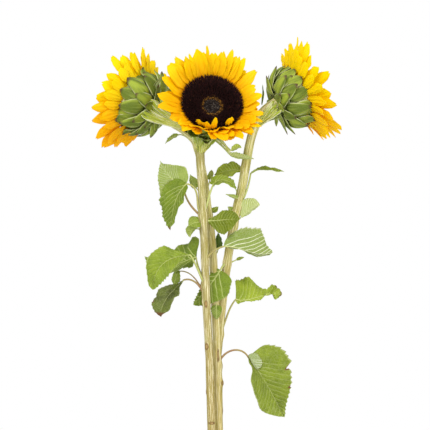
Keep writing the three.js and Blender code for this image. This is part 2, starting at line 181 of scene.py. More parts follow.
def gridFaces(index):
    return np.stack([index[:-1, :-1], index[:-1, 1:], index[1:, 1:], index[1:, :-1]], -1).reshape(-1, 4)


# a closed thin blade round a grid of points: upper face, under face and a shared rim;
# outward turns its upper face away from the upright axis
def shell(grid, thickness, marks, outward=False):
    rows, cols = grid.shape[:2]
    normals = unit(np.cross(np.gradient(grid, axis=1), np.gradient(grid, axis=0)))
    if outward and np.mean(np.sum(normals[..., :2] * grid[..., :2], -1)) < 0:
        normals = -normals
    index = np.arange(rows * cols).reshape(rows, cols)
    inner = np.zeros((rows, cols), bool)
    inner[1:-1, 1:-1] = True
    below = index.copy()
    below[inner] = rows * cols + np.arange(inner.sum())
    upper = np.where(inner[..., None], grid + normals * thickness / 2, grid)
    under = (grid - normals * thickness / 2)[inner]
    points = np.vstack([upper.reshape(-1, 3), under])
    faces = np.vstack([gridFaces(index), gridFaces(below)[:, [0, 3, 2, 1]]])
    kept = {}
    for key, values in marks.items():
        flat = values.reshape(rows * cols, -1)
        kept[key] = np.vstack([flat, flat[inner.ravel()]])
    side = np.where(inner.ravel(), 0.0, 0.5)
    kept["side"] = np.concatenate([side, np.ones(inner.sum())])[:, None]
    return points, faces, kept


# a grid of points set off a line, by x to its side and by a lift to its face
def offLine(line, side, x, face, lift):
    return line + side * x[..., None] + face * lift[..., None]


# walls between rings of points, with both ends closed by strips
def ringFaces(rings, sides):
    index = np.arange(rings * sides).reshape(rings, sides)
    faces = [gridFaces(np.hstack([index, index[:, :1]]))]
    half = np.arange(sides // 2 - 1)
    for end, turn in ((index[0], -1), (index[-1], 1)):
        cap = np.stack([end[half], end[half + 1], end[sides - 2 - half], end[sides - 1 - half]], -1)
        faces.append(cap[:, ::turn])
    return np.vstack(faces)


# rings about an upright axis, from rows of radius and height
def turnedRings(rows, sides):
    angles = ringAngles(sides)
    radius, height = rows[:, :1], rows[:, 1:]
    return np.stack([radius * np.cos(angles), radius * np.sin(angles), height + 0 * angles], -1)


# a closed round limb along centres; radii is one number or one row of them for each ring
def tube(centres, radii, sides, reference=(1.0, 0.0, 0.0)):
    centres = np.asarray(centres, float)
    across = np.array(reference, float)
    frames = []
    for tangent in unit(np.gradient(centres, axis=0)):
        across = unit(across - tangent * (across @ tangent))
        frames.append((across, np.cross(tangent, across)))
    a, b = np.swapaxes(frames, 0, 1)
    angles = ringAngles(sides)[None, :, None]
    radii = np.asarray(radii, float).reshape(len(centres), -1, 1)
    ring = a[:, None] * np.cos(angles) + b[:, None] * np.sin(angles)
    points = (centres[:, None] + ring * radii).reshape(-1, 3)
    length = walkedAlong(centres)[:, None, None] / 10
    grain = np.concatenate(np.broadcast_arrays(np.cos(angles), np.sin(angles), length), -1)
    return points, ringFaces(len(centres), sides), {"grain": grain.reshape(-1, 3)}


def joined(parts):
    points, faces, marks = [], [], {}
    start = 0
    for p, f, m in parts:
        points.append(p)
        faces.append(f + start)
        start += len(p)
        for key, values in m.items():
            marks.setdefault(key, []).append(values.reshape(len(p), -1))
    return np.vstack(points), np.vstack(faces), {k: np.vstack(v) for k, v in marks.items()}


def markPoints(mesh, marks):
    for key, values in marks.items():
        values = np.asarray(values, np.float32)
        wide = values.ndim > 1 and values.shape[1] == 3
        kind, field = ("FLOAT_VECTOR", "vector") if wide else ("FLOAT", "value")
        mark = mesh.attributes.new(key, kind, "POINT")
        mark.data.foreach_set(field, values.ravel())


# points in millimetres, quads, and numbers to keep on the points
def makePiece(name, part, material, replaced=()):
    points, faces, marks = part
    mesh = bpy.data.meshes.new(name)
    mesh.vertices.add(len(points))
    mesh.vertices.foreach_set("co", (points * mm).astype(np.float32).ravel())
    mesh.loops.add(faces.size)
    mesh.loops.foreach_set("vertex_index", faces.astype(np.int32).ravel())
    mesh.polygons.add(len(faces))
    mesh.polygons.foreach_set("loop_start", np.arange(0, faces.size, faces.shape[1], dtype=np.int32))
    mesh.update(calc_edges=True)
    mesh.shade_smooth()
    markPoints(mesh, marks)
    return placePiece(name, mesh, material, replaced)


def placePiece(name, mesh, material, replaced=()):
    piece = bpy.data.objects.new(name, mesh)
    bpy.context.scene.collection.objects.link(piece)
    if material:
        mesh.materials.clear()
        mesh.materials.append(material)
    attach(piece, rootBody)
    if replaced:
        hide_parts(*replaced)
    return piece


# waves of no fixed pattern along one or two numbers, between -1 and 1
def ripple(seed, *numbers):
    total = 0
    for k in range(3):
        turn = 6.283 * chance(k, seed)
        for j, value in enumerate(numbers):
            turn = turn + value * (1.7 ** k) * (0.75 + 0.5 * chance(k + 5 * j, seed + 1))
        total = total + np.sin(turn) / (1 + 0.6 * k)
    return total / 2.1


# shader helpers

def tint(code):
    parts = [int(code[i:i + 2], 16) / 255 for i in (1, 3, 5)]
    return tuple(c / 12.92 if c <= 0.04045 else ((c + 0.055) / 1.055) ** 2.4 for c in parts) + (1.0,)


# builds nodes in one tree; a socket given as a value is linked, anything else is set
class Wiring:
    def __init__(self, tree, material=None):
        self.tree = tree
        self.material = material

    def add(self, kind, values=None, **settings):
        node = self.tree.nodes.new(kind)
        for key, value in settings.items():
            setattr(node, key, value)
        for key, value in (values or {}).items():
            if isinstance(value, bpy.types.NodeSocket):
                self.tree.links.new(value, node.inputs[key])
            else:
                node.inputs[key].default_value = value
        return node

    def use(self, tree, values):
        return self.add("ShaderNodeGroup", values, node_tree=tree).outputs

    def mark(self, name, kind="Fac"):
        return self.add("ShaderNodeAttribute", attribute_name=name).outputs[kind]

    def math(self, operation, a, b=0.0):
        return self.add("ShaderNodeMath", {0: a, 1: b}, operation=operation).outputs[0]

    def plus(self, a, b):
        return self.math("ADD", a, b)

    def minus(self, a, b):
        return self.math("SUBTRACT", a, b)

    def times(self, a, b):
        return self.math("MULTIPLY", a, b)

    def larger(self, a, b):
        return self.math("MAXIMUM", a, b)

    def parts(self, vector):
        return self.add("ShaderNodeSeparateXYZ", {0: vector}).outputs

    def vector(self, x, y, z):
        return self.add("ShaderNodeCombineXYZ", {0: x, 1: y, 2: z}).outputs[0]

    def stretched(self, vector, factors):
        return self.add("ShaderNodeVectorMath", {0: vector, 1: factors}, operation="MULTIPLY").outputs[0]

    def shifted(self, vector, way):
        return self.add("ShaderNodeVectorMath", {0: vector, 1: way}, operation="ADD").outputs[0]

    def noise(self, vector, scale, detail=3.0, roughness=0.55):
        values = {"Vector": vector, "Scale": scale, "Detail": detail, "Roughness": roughness}
        return self.add("ShaderNodeTexNoise", values).outputs[0]

    def span(self, value, low, high, toLow=0.0, toHigh=1.0):
        values = {"Value": value, "From Min": low, "From Max": high, "To Min": toLow, "To Max": toHigh}
        return self.add("ShaderNodeMapRange", values, interpolation_type="SMOOTHSTEP").outputs[0]

    # a colour is a socket or a code such as #ffe800
    def blend(self, share, a, b, blendType="MIX"):
        a, b = (tint(color) if isinstance(color, str) else color for color in (a, b))
        values = {0: share, 6: a, 7: b}
        return self.add("ShaderNodeMix", values, data_type="RGBA", blend_type=blendType).outputs[2]

    # lays one colour over another as a value goes from low to high
    def lay(self, color, over, value, low, high, most=1.0):
        return self.blend(self.span(value, low, high, 0.0, most), color, over)

    def bump(self, height, strength, distance):
        values = {"Strength": strength, "Distance": distance, "Height": height}
        return self.add("ShaderNodeBump", values).outputs[0]


# a shader or geometry tree with its inputs as (kind, value), and its outputs by name
def newTree(name, kind, inputs, outputs, outputKind="Float"):
    tree = bpy.data.node_groups.new(name, kind + "NodeTree")
    for key, (socketKind, value) in inputs.items():
        socket = tree.interface.new_socket(name=key, in_out="INPUT", socket_type="NodeSocket" + socketKind)
        if value is not None:
            socket.default_value = value
    for key in outputs:
        tree.interface.new_socket(name=key, in_out="OUTPUT", socket_type="NodeSocket" + outputKind)
    w = Wiring(tree)
    return w, w.add("NodeGroupInput").outputs, w.add("NodeGroupOutput").inputs


# side veins, in centimetres: how they bend, how far the two sides are offset, where the first
# one starts, how far a slanting vein is from its level, and how far below the foot they go
veinLook = {
    "bend": 0.12,
    "offset": 0.21,
    "start": 0.25,
    "slant": 0.7,
    "foot": -0.75,
    "steepFoot": -9.0,
    "steepFrom": 2.2,
    # least and widest spacing, in millimetres, of blades that state none
    "gaps": (2.4, 6.5),
}


# veins of a blade: Place is the way across, the way along and a number of its own, in centimetres
def buildVeins():
    sizes = {
        "Place": ("Vector", None), "Slope": ("Float", 1.0), "Spacing": ("Float", 1.1),
        "Width": ("Float", 0.05), "Foot": ("Float", veinLook["foot"]),
    }
    w, given, out = newTree("leaf veins", "Shader", sizes, ["Vein", "Net", "Puff", "Middle"])
    place, spacing, width = given["Place"], given["Spacing"], given["Width"]
    x, y = w.parts(place)[0:2]
    wander = w.noise(place, 1.1, 2.0)
    wide = w.math("ABSOLUTE", x)
    bow = w.times(w.times(wide, wide), veinLook["bend"])
    level = w.plus(w.minus(y, w.times(wide, given["Slope"])), bow)
    level = w.plus(level, w.times(w.minus(wander, 0.5), 0.5))
    side = w.times(w.math("SIGN", x), veinLook["offset"])
    turn = w.math("DIVIDE", w.minus(w.plus(level, side), veinLook["start"]), spacing)
    off = w.math("ABSOLUTE", w.minus(w.math("FRACT", w.plus(turn, 0.5)), 0.5))
    far = w.times(off, w.times(spacing, veinLook["slant"]))
    narrow = w.times(width, w.span(wide, 0.0, 3.0, 1.0, 0.45))
    line = w.minus(1.0, w.span(w.math("DIVIDE", far, narrow), 0.3, 1.6))
    # nothing branches off below the blade's foot
    line = w.times(line, w.math("GREATER_THAN", turn, given["Foot"]))
    middle = w.minus(1.0, w.span(w.math("DIVIDE", wide, width), 0.7, 2.0))
    cellValues = {"Vector": w.stretched(place, (1, 1, 0.2)), "Scale": 4.2}
    cells = w.add("ShaderNodeTexVoronoi", cellValues, feature="DISTANCE_TO_EDGE").outputs["Distance"]
    w.tree.links.new(line, out["Vein"])
    w.tree.links.new(w.span(cells, 0.02, 0.14, 1.0, 0.0), out["Net"])
    w.tree.links.new(w.span(far, 0.0, 0.42), out["Puff"])
    w.tree.links.new(middle, out["Middle"])
    return w.tree


# streaks that run along a stem, stalk or petal, from a place whose Z is the way along
def buildGrain():
    sizes = {"Place": ("Vector", None), "Fineness": ("Float", 6.0), "Stretch": ("Float", 0.12)}
    w, given, out = newTree("lengthwise grain", "Shader", sizes, ["Streak", "Cloud"])
    x, y, z = w.parts(given["Place"])
    drawn = w.vector(x, y, w.times(z, given["Stretch"]))
    w.tree.links.new(w.noise(drawn, given["Fineness"], 4.0, 0.6), out["Streak"])
    w.tree.links.new(w.noise(given["Place"], 0.9, 2.0), out["Cloud"])
    return w.tree


# pale down: small bright dots that gather in patches
def buildDown():
    sizes = {"Place": ("Vector", None), "Size": ("Float", 900.0), "Cover": ("Float", 0.5)}
    w, given, out = newTree("pale down", "Shader", sizes, ["Down"])
    dots = w.noise(given["Place"], given["Size"], 2.0, 0.7)
    patches = w.noise(given["Place"], 60.0, 2.0)
    mask = w.times(w.span(dots, 0.52, 0.75), w.span(patches, 0.3, 0.65))
    w.tree.links.new(w.times(mask, given["Cover"]), out["Down"])
    return w.tree


veinsGroup = buildVeins()
grainGroup = buildGrain()
downGroup = buildDown()


def newMaterial(name):
    material = bpy.data.materials.new(name)
    material.use_nodes = True
    material.node_tree.nodes.clear()
    return Wiring(material.node_tree, material)


# shader end of a finish: its roughness runs between two numbers with the grain, and a share
# of the light may pass through a thin piece
def close(w, color, grain, roughness, normal=None, through=0.0, sheen=0.0, specular=0.35):
    skin = {"Base Color": color, "Roughness": w.span(grain, 0.3, 0.7, *roughness)}
    skin.update({"Specular IOR Level": specular, "Sheen Weight": sheen})
    thin = {"Color": color}
    if normal:
        skin["Normal"] = thin["Normal"] = normal
    shader = w.add("ShaderNodeBsdfPrincipled", skin).outputs[0]
    if through:
        passing = w.add("ShaderNodeBsdfTranslucent", thin).outputs[0]
        shader = w.add("ShaderNodeMixShader", {0: through, 1: shader, 2: passing}).outputs[0]
    w.add("ShaderNodeOutputMaterial", {0: shader})
    return w.material


def objectPlace(w):
    return w.add("ShaderNodeTexCoord").outputs["Object"]


# lengthwise streaks and clouds of a piece that keeps its grain
def streaksOf(w, fineness, stretch):
    values = {"Place": w.mark("grain", "Vector"), "Fineness": fineness, "Stretch": stretch}
    return w.use(grainGroup, values)[0:2]


def withDown(w, color, downColor, fineness, cover):
    down = w.use(downGroup, {"Place": objectPlace(w), "Size": fineness, "Cover": cover})[0]
    return w.blend(down, color, downColor)


# helpers for geometry trees

def newGeometryTree(name, sizes):
    inputs = {"Geometry": ("Geometry", None), **sizes}
    return newTree(name, "Geometry", inputs, ["Geometry"], "Geometry")


# runs a tree on a base mesh and gives back the plain mesh that it makes
def grow(name, tree, values, base=None):
    source = bpy.data.objects.new(name, base or bpy.data.meshes.new(name))
    bpy.context.scene.collection.objects.link(source)
    modifier = source.modifiers.new(name, "NODES")
    modifier.node_group = tree
    for item in tree.interface.items_tree:
        if item.in_out == "INPUT" and item.name in values:
            modifier[item.identifier] = values[item.name]
    source.update_tag()
    depsgraph = bpy.context.evaluated_depsgraph_get()
    mesh = bpy.data.meshes.new_from_object(source.evaluated_get(depsgraph), depsgraph=depsgraph)
    source.modifiers.remove(modifier)
    bpy.data.objects.remove(source)
    mesh.name = name
    return mesh


# small closed round shape from rings of (radius, height), 1 mm high, for the trees to repeat
def smallForm(name, rings, sides, lobes=None):
    points, faces = [(0.0, 0.0, rings[0][1])], []
    for k, (radius, height) in enumerate(rings[:-1]):
        for j in range(sides):
            angle = 2 * math.pi * j / sides
            swing = (-1) ** j if lobes == k else 0
            wide = radius * (1 + 0.35 * swing)
            points.append((wide * math.cos(angle), wide * math.sin(angle), height + 0.10 * swing))
    points.append((0.0, 0.0, rings[-1][1]))
    last = len(points) - 1
    top = last - sides
    for j in range(sides):
        following = (j + 1) % sides
        faces.append((0, 1 + following, 1 + j))
        for a in range(1, top, sides):
            faces.append((a + j, a + following, a + sides + following, a + sides + j))
        faces.append((top + j, top + following, last))
    mesh = bpy.data.meshes.new(name)
    mesh.from_pydata([tuple(mm * c for c in p) for p in points], [], faces)
    markPoints(mesh, {"reach": [p[2] for p in points]})
    form = bpy.data.objects.new(name, mesh)
    bpy.context.scene.collection.objects.link(form)
    return form


def curveOf(w, value, points):
    node = w.add("ShaderNodeFloatCurve", {1: value})
    curve = node.mapping.curves[0]
    curve.points[0].location = points[0]
    curve.points[1].location = points[-1]
    for point in points[1:-1]:
        curve.points.new(*point)
    node.mapping.update()
    return node.outputs[0]


def randomValue(w, low, high, seed):
    node = w.add("FunctionNodeRandomValue", {2: low, 3: high, 8: seed}, data_type="FLOAT")
    return node.outputs[1]


def randomWay(w, most, seed):
    values = {0: (-most,) * 3, 1: (most,) * 3, 8: seed}
    return w.add("FunctionNodeRandomValue", values, data_type="FLOAT_VECTOR").outputs[0]


def upAlong(w, way):
    return w.add("FunctionNodeAlignRotationToVector", {"Vector": way}, axis="Z").outputs[0]


def repeated(w, points, form, turned, size, chosen=True):
    shape = w.add("GeometryNodeObjectInfo", {"Object": form}).outputs["Geometry"]
    values = {"Points": points, "Selection": chosen, "Instance": shape, "Rotation": turned, "Scale": size}
    return w.add("GeometryNodeInstanceOnPoints", values).outputs[0]


def endTree(w, forms, skin, out):
    solid = w.add("GeometryNodeRealizeInstances", {0: forms}).outputs[0]
    painted = w.add("GeometryNodeSetMaterial", {"Geometry": solid, "Material": skin}).outputs[0]
    w.tree.links.new(painted, out[0])


# How blades are cut: how far the halves fold up, where the blade is widest, how fine the tip
# is and how far the lobes reach back. A leaf can state its own value over its cut's.
cuts = {
    "young": {"fold": 15, "widest": 0.35, "tip": 1.1, "lobes": 0.04},
    "oval": {"fold": 10, "widest": 0.45, "tip": 1.1, "lobes": 0.03},
    "heart": {"fold": 15, "widest": 0.25, "tip": 1.1, "lobes": 0.12},
    "broad": {"fold": 0, "widest": 0.35, "tip": 1.3, "lobes": 0.05},
    "flat": {"fold": 0, "widest": 0.3, "tip": 0.8, "lobes": 0.02},
    "spoon": {"fold": 5, "widest": 0.6, "tip": 1.1, "lobes": 0.04},
    "square": {"fold": 20, "widest": 0.6, "tip": 0.75, "lobes": 0.03},
    "creased": {"fold": 40, "widest": 0.5, "tip": 0.95, "lobes": 0.05},
}

# Leaves. height: where the stalk leaves its stem; heading: 0 is +X, 90 is away.
# stalk: length, then pitch at its start, middle and end, then the change of heading.
# blade: length and the two half widths; pitch, roll and turn run along the blade.
leaves = {
    "leaf_bract_right": {
        "stem": "front", "height": 430, "heading": -10, "stalk": [42, -30, -40, -50, 5],
        "cut": "young", "blade": [30, 5, 5], "pitch": [-15, -10, -10], "turn": 0, "roll": [50, 50],
    },
    "leaf_bract_curl": {
        "stem": "front", "height": 420, "heading": -10, "stalk": [40, 10, -20, -45, 20],
        "cut": "oval", "blade": [14, 6, 4], "pitch": [25, 25, -35], "turn": 5, "roll": [45, 45],
    },
    "leaf_neck_left": {
        "stem": "left", "height": 410, "heading": 175, "stalk": [30, 40, 45, -5, -5],
        "cut": "young", "blade": [20, 5, 4], "pitch": [-10, -35, -45], "turn": 0, "roll": [-30, -30],
    },
    "leaf_high_right": {
        "stem": "right", "height": 385, "heading": 170, "stalk": [5, -5, -30, -10, -10],
        "cut": "oval", "blade": [36, 12, 13], "pitch": [20, -10, -20], "turn": 0, "roll": [40, 70],
    },
    "leaf_high_small": {
        "stem": "left", "height": 355, "heading": 50, "stalk": [20, 75, 60, 70, 15],
        "cut": "young", "blade": [13, 8, 5], "pitch": [70, 70, 65], "turn": 5, "roll": [25, 25],
    },
    "leaf_high_left_small": {
        "stem": "left", "height": 350, "heading": 170, "stalk": [18, 55, 40, 55, 5],
        "cut": "young", "blade": [18, 7, 7], "pitch": [60, 65, 80], "turn": 0, "roll": [-60, -60],
    },
    "leaf_small_right": {
        "stem": "right", "height": 350, "heading": -100, "stalk": [7, 15, 0, 10, -20],
        "cut": "young", "blade": [18, 4, 4], "pitch": [10, 15, 20], "turn": -55, "roll": [-30, -30],
    },
    "leaf_slender_right": {
        "stem": "right", "height": 340, "heading": -10, "stalk": [44, 45, 70, 80, -5],
        "cut": "young", "blade": [43, 10, 6], "pitch": [45, -5, 0], "turn": 0, "roll": [-15, -30],
    },
    "leaf_high_middle": {
        "stem": "front", "height": 330, "heading": -10, "stalk": [38, 65, 75, 65, 5],
        "cut": "heart", "blade": [38, 12, 8], "pitch": [60, -20, -75], "turn": 0, "roll": [-35, -45],
    },
    "leaf_inner_small": {
        "stem": "right", "height": 330, "heading": 175, "stalk": [6, 40, 40, 40, 10],
        "cut": "young", "blade": [8, 5, 5], "pitch": [60, 55, 20], "turn": 0, "roll": [-40, -40],
    },
    "leaf_behind_small": {
        "stem": "left", "height": 330, "heading": 15, "stalk": [5, 40, 40, 40, 5],
        "cut": "young", "blade": [11, 6, 4], "pitch": [45, 40, 35], "turn": 0, "roll": [-40, -40],
    },
    "leaf_high_left": {
        "stem": "front", "height": 327, "heading": 175, "stalk": [44, 35, 55, 85, -5],
        "cut": "broad", "blade": [45, 27, 23], "pitch": [35, 45, 75], "turn": -10, "roll": [-80, -55],
    },
    "leaf_high_left_front": {
        "stem": "front", "height": 328, "heading": 190, "stalk": [48, 35, 85, -5, -10],
        "cut": "young", "blade": [60, 22, 13], "pitch": [-40, -75, -80], "turn": -10, "roll": [60, 55],
    },
    "leaf_mid_right_front": {
        "stem": "front", "height": 323, "heading": -20, "stalk": [4, 10, 0, 0, 10],
        "cut": "spoon", "blade": [41, 21, 13], "pitch": [0, 5, 0], "turn": -15, "roll": [-75, -55],
    },
    "leaf_mid_left_front": {
        "stem": "front", "height": 320, "heading": 210, "stalk": [4, 10, 10, 10, 5],
        "cut": "oval", "blade": [19, 9, 9], "pitch": [20, -15, -25], "turn": 0, "roll": [55, 50],
    },
    "leaf_folded_right": {
        "stem": "right", "height": 317, "heading": 0, "stalk": [14, 55, 45, 55, 10],
        "cut": "square", "widest": 0.5,
        "blade": [28, 17, 10], "pitch": [40, 35, 15], "turn": 5, "roll": [50, 45],
    },
    "leaf_mid_left_curled": {
        "stem": "front", "height": 312, "heading": 165, "stalk": [8, 10, 10, 10, -20],
        "cut": "oval", "blade": [19, 3, 8], "pitch": [15, -40, -105], "turn": -5, "roll": [-10, -60],
    },
    "leaf_mid_right_large": {
        "stem": "front", "height": 275, "heading": -20, "stalk": [31, 60, 35, 15, -5],
        "cut": "creased", "blade": [66, 29, 9], "pitch": [5, -15, 25], "turn": -5, "roll": [55, 75],
    },
    "leaf_behind_stems": {
        "stem": "left", "height": 275, "heading": 50, "stalk": [17, 65, 45, 65, 10],
        "cut": "young", "blade": [22, 10, 5], "pitch": [70, 95, 105], "turn": 5, "roll": [20, 20],
    },
    "leaf_between_stems": {
        "stem": "right", "height": 273, "heading": 225, "stalk": [15, -20, -40, -50, 0],
        "cut": "flat", "blade": [55, 8, 25], "pitch": [-50, -50, -50], "turn": -60, "roll": [55, 100],
    },
    "leaf_mid_right_small": {
        "stem": "right", "height": 270, "heading": -5, "stalk": [13, 30, 25, 30, 0],
        "cut": "young", "blade": [10, 4, 3], "pitch": [15, 20, 15], "turn": 0, "roll": [-40, -40],
    },
    "leaf_low_left_behind": {
        "stem": "front", "height": 246, "heading": 155, "stalk": [36, 65, 65, 80, -15],
        "cut": "heart", "blade": [86, 29, 21], "pitch": [-10, -10, 55], "turn": 5, "roll": [55, 35],
    },
    "leaf_low_left_large": {
        "stem": "front", "height": 244, "heading": 200, "stalk": [43, 60, 65, 55, 5],
        "cut": "square", "blade": [78, 19, 16], "pitch": [0, -30, -90], "turn": 40, "roll": [30, 65],
    },
    "leaf_low_left_small": {
        "stem": "front", "height": 235, "heading": 170, "stalk": [44, 50, 50, -5, 0],
        "cut": "oval", "blade": [20, 6, 10], "pitch": [-25, -75, -65], "turn": 5, "roll": [45, 65],
    },
    "leaf_between_low": {
        "stem": "left", "height": 224, "heading": -75, "stalk": [7, 0, -20, -60, 0],
        "cut": "flat", "blade": [17, 7, 7], "pitch": [-85, -85, -85], "turn": 0, "roll": [0, 0],
    },
    "leaf_low_left_hanging": {
        "stem": "front", "height": 227, "heading": 185, "stalk": [42, 70, 50, -20, 10],
        "cut": "spoon", "blade": [54, 21, 17], "pitch": [-45, -50, -95], "turn": 15, "roll": [10, 20],
    },
    "leaf_low_right_curled": {
        "stem": "right", "height": 185, "heading": 5, "stalk": [48, 55, 70, 45, 15],
        "cut": "flat", "tip": 0.6, "lobes": 0.06, "waist": [0.7, 0.65, 0.12],
        "blade": [60, 4, 29], "pitch": [-15, 15, -20], "turn": -5, "roll": [-60, -55],
    },
    "leaf_lowest_right": {
        "stem": "left", "height": 148, "heading": -5, "stalk": [50, 75, 20, -65, 10],
        "cut": "creased", "fold": 35, "widest": 0.3,
        "blade": [84, 34, 39], "pitch": [-50, -60, -60], "turn": -25, "roll": [-40, -85],
    },
}
for leaf in leaves.values():
    leaf.update({**cuts[leaf["cut"]], **leaf})
bladeLook = {
    "rowGap": 0.62,
    "rows": (28, 130),
    "colsLarge": 45,
    "colsSmall": 21,
    "largeFrom": 30,
    "thickness": 0.34,
    "leastHalf": 0.42,
    "lobeReach": 0.13,
    "tooth": 2.3,
    "toothGap": 4.6,
    "waver": 0.035,
    "ruffle": 0.035,
    "puff": 0.55,
    "groove": 0.40,
    "veinHalf": 0.55,
    "ribHalf": 0.9,
    "rough": 0.22,
}
# finish, ruffle, dried tip, blush of the stalk, slope and strength of the side veins
leafLooks = {
    "leaf_lowest_right": ("worn", 0.8, 0.3, 1.0, 1.2, 0.45),
    "leaf_low_left_large": ("fresh", 0.7, 0.0, 0.1, 1.4, 0.38),
    "leaf_low_left_behind": ("deep", 0.8, 0.1, 0.2, 1.0, 0.95),
    "leaf_low_left_hanging": ("shady", 0.8, 1.0, 1.0, 3.2, 0.6),
    "leaf_low_left_small": ("fresh", 0.6, 0.0, 0.9, 0.9, 0.4),
    "leaf_low_right_curled": ("bright", 1.5, 0.6, 0.5, 0.9, 0.45),
    "leaf_between_stems": ("deep", 0.6, 0.0, 0.0, 1.2, 0.9),
    "leaf_between_low": ("deep", 0.6, 0.0, 0.0, 1.0, 0.6),
    "leaf_behind_stems": ("dark", 0.6, 0.0, 0.0, 1.0, 0.5),
    "leaf_mid_right_large": ("ribbed", 0.8, 0.0, 0.6, 1.9, 0.75),
    "leaf_high_left": ("soft", 0.6, 0.1, 0.9, 1.3, 0.45),
    "leaf_high_left_front": ("deep", 0.8, 0.8, 0.4, 1.6, 0.65),
    "leaf_high_right": ("bright", 0.8, 0.7, 0.0, 0.8, 0.5),
    "leaf_mid_right_front": ("olive", 0.7, 0.0, 0.0, 0.7, 0.4),
    "leaf_high_small": ("pale", 0.5, 0.0, 0.0, 0.9, 0.4),
    "leaf_bract_right": ("pale", 0.5, 0.0, 0.0, 0.6, 0.4),
    "leaf_bract_curl": ("bright", 0.5, 0.0, 0.0, 0.6, 0.4),
    "leaf_high_middle": ("fresh", 0.7, 0.1, 0.0, 0.9, 0.5),
    "leaf_folded_right": ("pale", 0.6, 0.1, 0.0, 0.9, 0.6),
    "leaf_slender_right": ("fresh", 0.6, 0.1, 0.0, 0.7, 0.4),
}
veinGaps = {
    "leaf_mid_right_large": 9.5, "leaf_high_left_front": 6.8, "leaf_low_left_hanging": 6.0,
    "leaf_between_stems": 8.0, "leaf_low_left_behind": 8.0,
}
# upper face, under face, veins and shade
leafColors = {
    "shady": ("#687818", "#78842c", "#cfd29c", "#454f10"),
    "olive": ("#76860f", "#87941f", "#bcc473", "#62720c"),
    "worn": ("#8b9c26", "#9aab40", "#d9de9e", "#71821c"),
    "ribbed": ("#7f9434", "#8c9f45", "#f4f6d4", "#74862f"),
    "fresh": ("#91a62c", "#a3b64c", "#ccd486", "#788e22"),
    "bright": ("#a3b530", "#b4c63e", "#dadf92", "#8ca12a"),
    "deep": ("#7c931f", "#8b9e34", "#c2cb7e", "#647b18"),
    "dark": ("#4f7420", "#6f8f30", "#93a955", "#3c5c18"),
    "dull": ("#7f8d3c", "#95a35c", "#bcc38e", "#66732e"),
    "pale": ("#b3c35c", "#bfcc72", "#e3e8b2", "#9db048"),
    "soft": ("#90a336", "#a6b957", "#dfe5b4", "#84983a"),
}
# down is its colour, its fineness and how much it covers
skinLook = {"down": ("#dde0b8", 1000.0, 0.12), "dry": "#7d5a38", "through": 0.22, "specular": 0.22}
# nicks in a blade's edge: half (-1 or 1), way along, reach and depth
nicks = {
    "leaf_lowest_right": [(-1, 0.43, 0.022, 8.0), (-1, 0.66, 0.012, 1.6)],
    "leaf_low_right_curled": [(1, 0.80, 0.024, 5.0), (-1, 0.91, 0.02, 1.5)],
    "leaf_low_left_hanging": [(1, 0.72, 0.02, 2.4)],
    "leaf_high_right": [(1, 0.52, 0.015, 1.5)],
}
# fuller places of a blade: half (-1 or 1), way along, reach and extra width
swells = {
    "leaf_lowest_right": [(1, 0.78, 0.16, 8.0), (1, 0.25, 0.16, -3.5)],
    "leaf_between_stems": [(-1, 0.18, 0.12, -4.0)],
    "leaf_low_right_curled": [(1, 0.88, 0.08, 3.0)],
    "leaf_low_left_hanging": [(1, 0.35, 0.2, 4.0), (-1, 0.3, 0.2, 4.0)],
}
# crumpled ends: where they begin along the blade, and how deep
crumples = {
    "leaf_low_right_curled": (0.64, 3.4),
    "leaf_low_left_hanging": (0.6, 0.7),
    "leaf_lowest_right": (0.0, 0.5),
}


def leafLook(name):
    return leafLooks.get(name, ("fresh", 0.6, 0.0, 0.1, 0.9, 0.4))


# a line that starts at a place and keeps to its headings and pitches
def walkedLine(start, headings, pitches, length):
    steps = direction(headings, pitches) * length / len(headings)
    return start + np.vstack([np.zeros(3), np.cumsum(steps, axis=0)])


# the stalk's middle line, and the blade's rib with its directions
def leafPath(leaf, stalkSteps=24, bladeSteps=140):
    route = wholeRoute(leaf["stem"])
    low, high = 0.0, 0.985
    for _ in range(24):
        middle = (low + high) / 2
        if routeAt(route, middle)[0][2] < leaf["height"]:
            low = middle
        else:
            high = middle
    length, *pitches, sweep = leaf["stalk"]
    t = (np.arange(stalkSteps) + 0.5) / stalkSteps
    stalk = walkedLine(routeAt(route, low)[0], leaf["heading"] + sweep * t, along(pitches, t), length)
    heading = leaf["heading"] + sweep
    t = (np.arange(bladeSteps) + 0.5) / bladeSteps
    rib = walkedLine(stalk[-1], heading + leaf["turn"] * t, along(leaf["pitch"], t), leaf["blade"][0])
    v = np.linspace(0, 1, bladeSteps + 1)
    roll = np.radians(leaf["roll"][0] + (leaf["roll"][1] - leaf["roll"][0]) * v)[:, None]
    forward = direction(heading + leaf["turn"] * v, along(leaf["pitch"], v))
    level = direction(heading + leaf["turn"] * v - 90, 0 * v)
    normal = np.cross(level, forward)
    side = level * np.cos(roll) + normal * np.sin(roll)
    face = normal * np.cos(roll) - level * np.sin(roll)
    return stalk, v, rib, forward, side, face


def bladeOutline(leaf, v):
    widest, tip = leaf["widest"], leaf["tip"]
    rise = tip * widest / (1 - widest)
    most = widest**rise * (1 - widest) ** tip
    width = v**rise * (1 - v) ** tip / most
    if "waist" in leaf:
        place, depth, spread = leaf["waist"]
        width = width * (1 - depth * bell(v - place, spread))
    return width


# how far the nearest side vein is, in millimetres, and which one it is
def veinDistance(x, y, slope, spacing):
    look = veinLook
    level = y - slope * np.abs(x) + look["bend"] / 10 * x**2
    turn = (level + 10 * look["offset"] * np.sign(x) - 10 * look["start"]) / spacing
    off = np.abs((turn + 0.5) % 1 - 0.5)
    return off * spacing * look["slant"], turn


# steep side veins all rise from the stalk's end
def veinFoot(slope):
    return veinLook["foot"] if slope < veinLook["steepFrom"] else veinLook["steepFoot"]


def veinSpacing(name):
    return veinGaps.get(name, float(np.clip(leaves[name]["blade"][0] / 11, *veinLook["gaps"])))


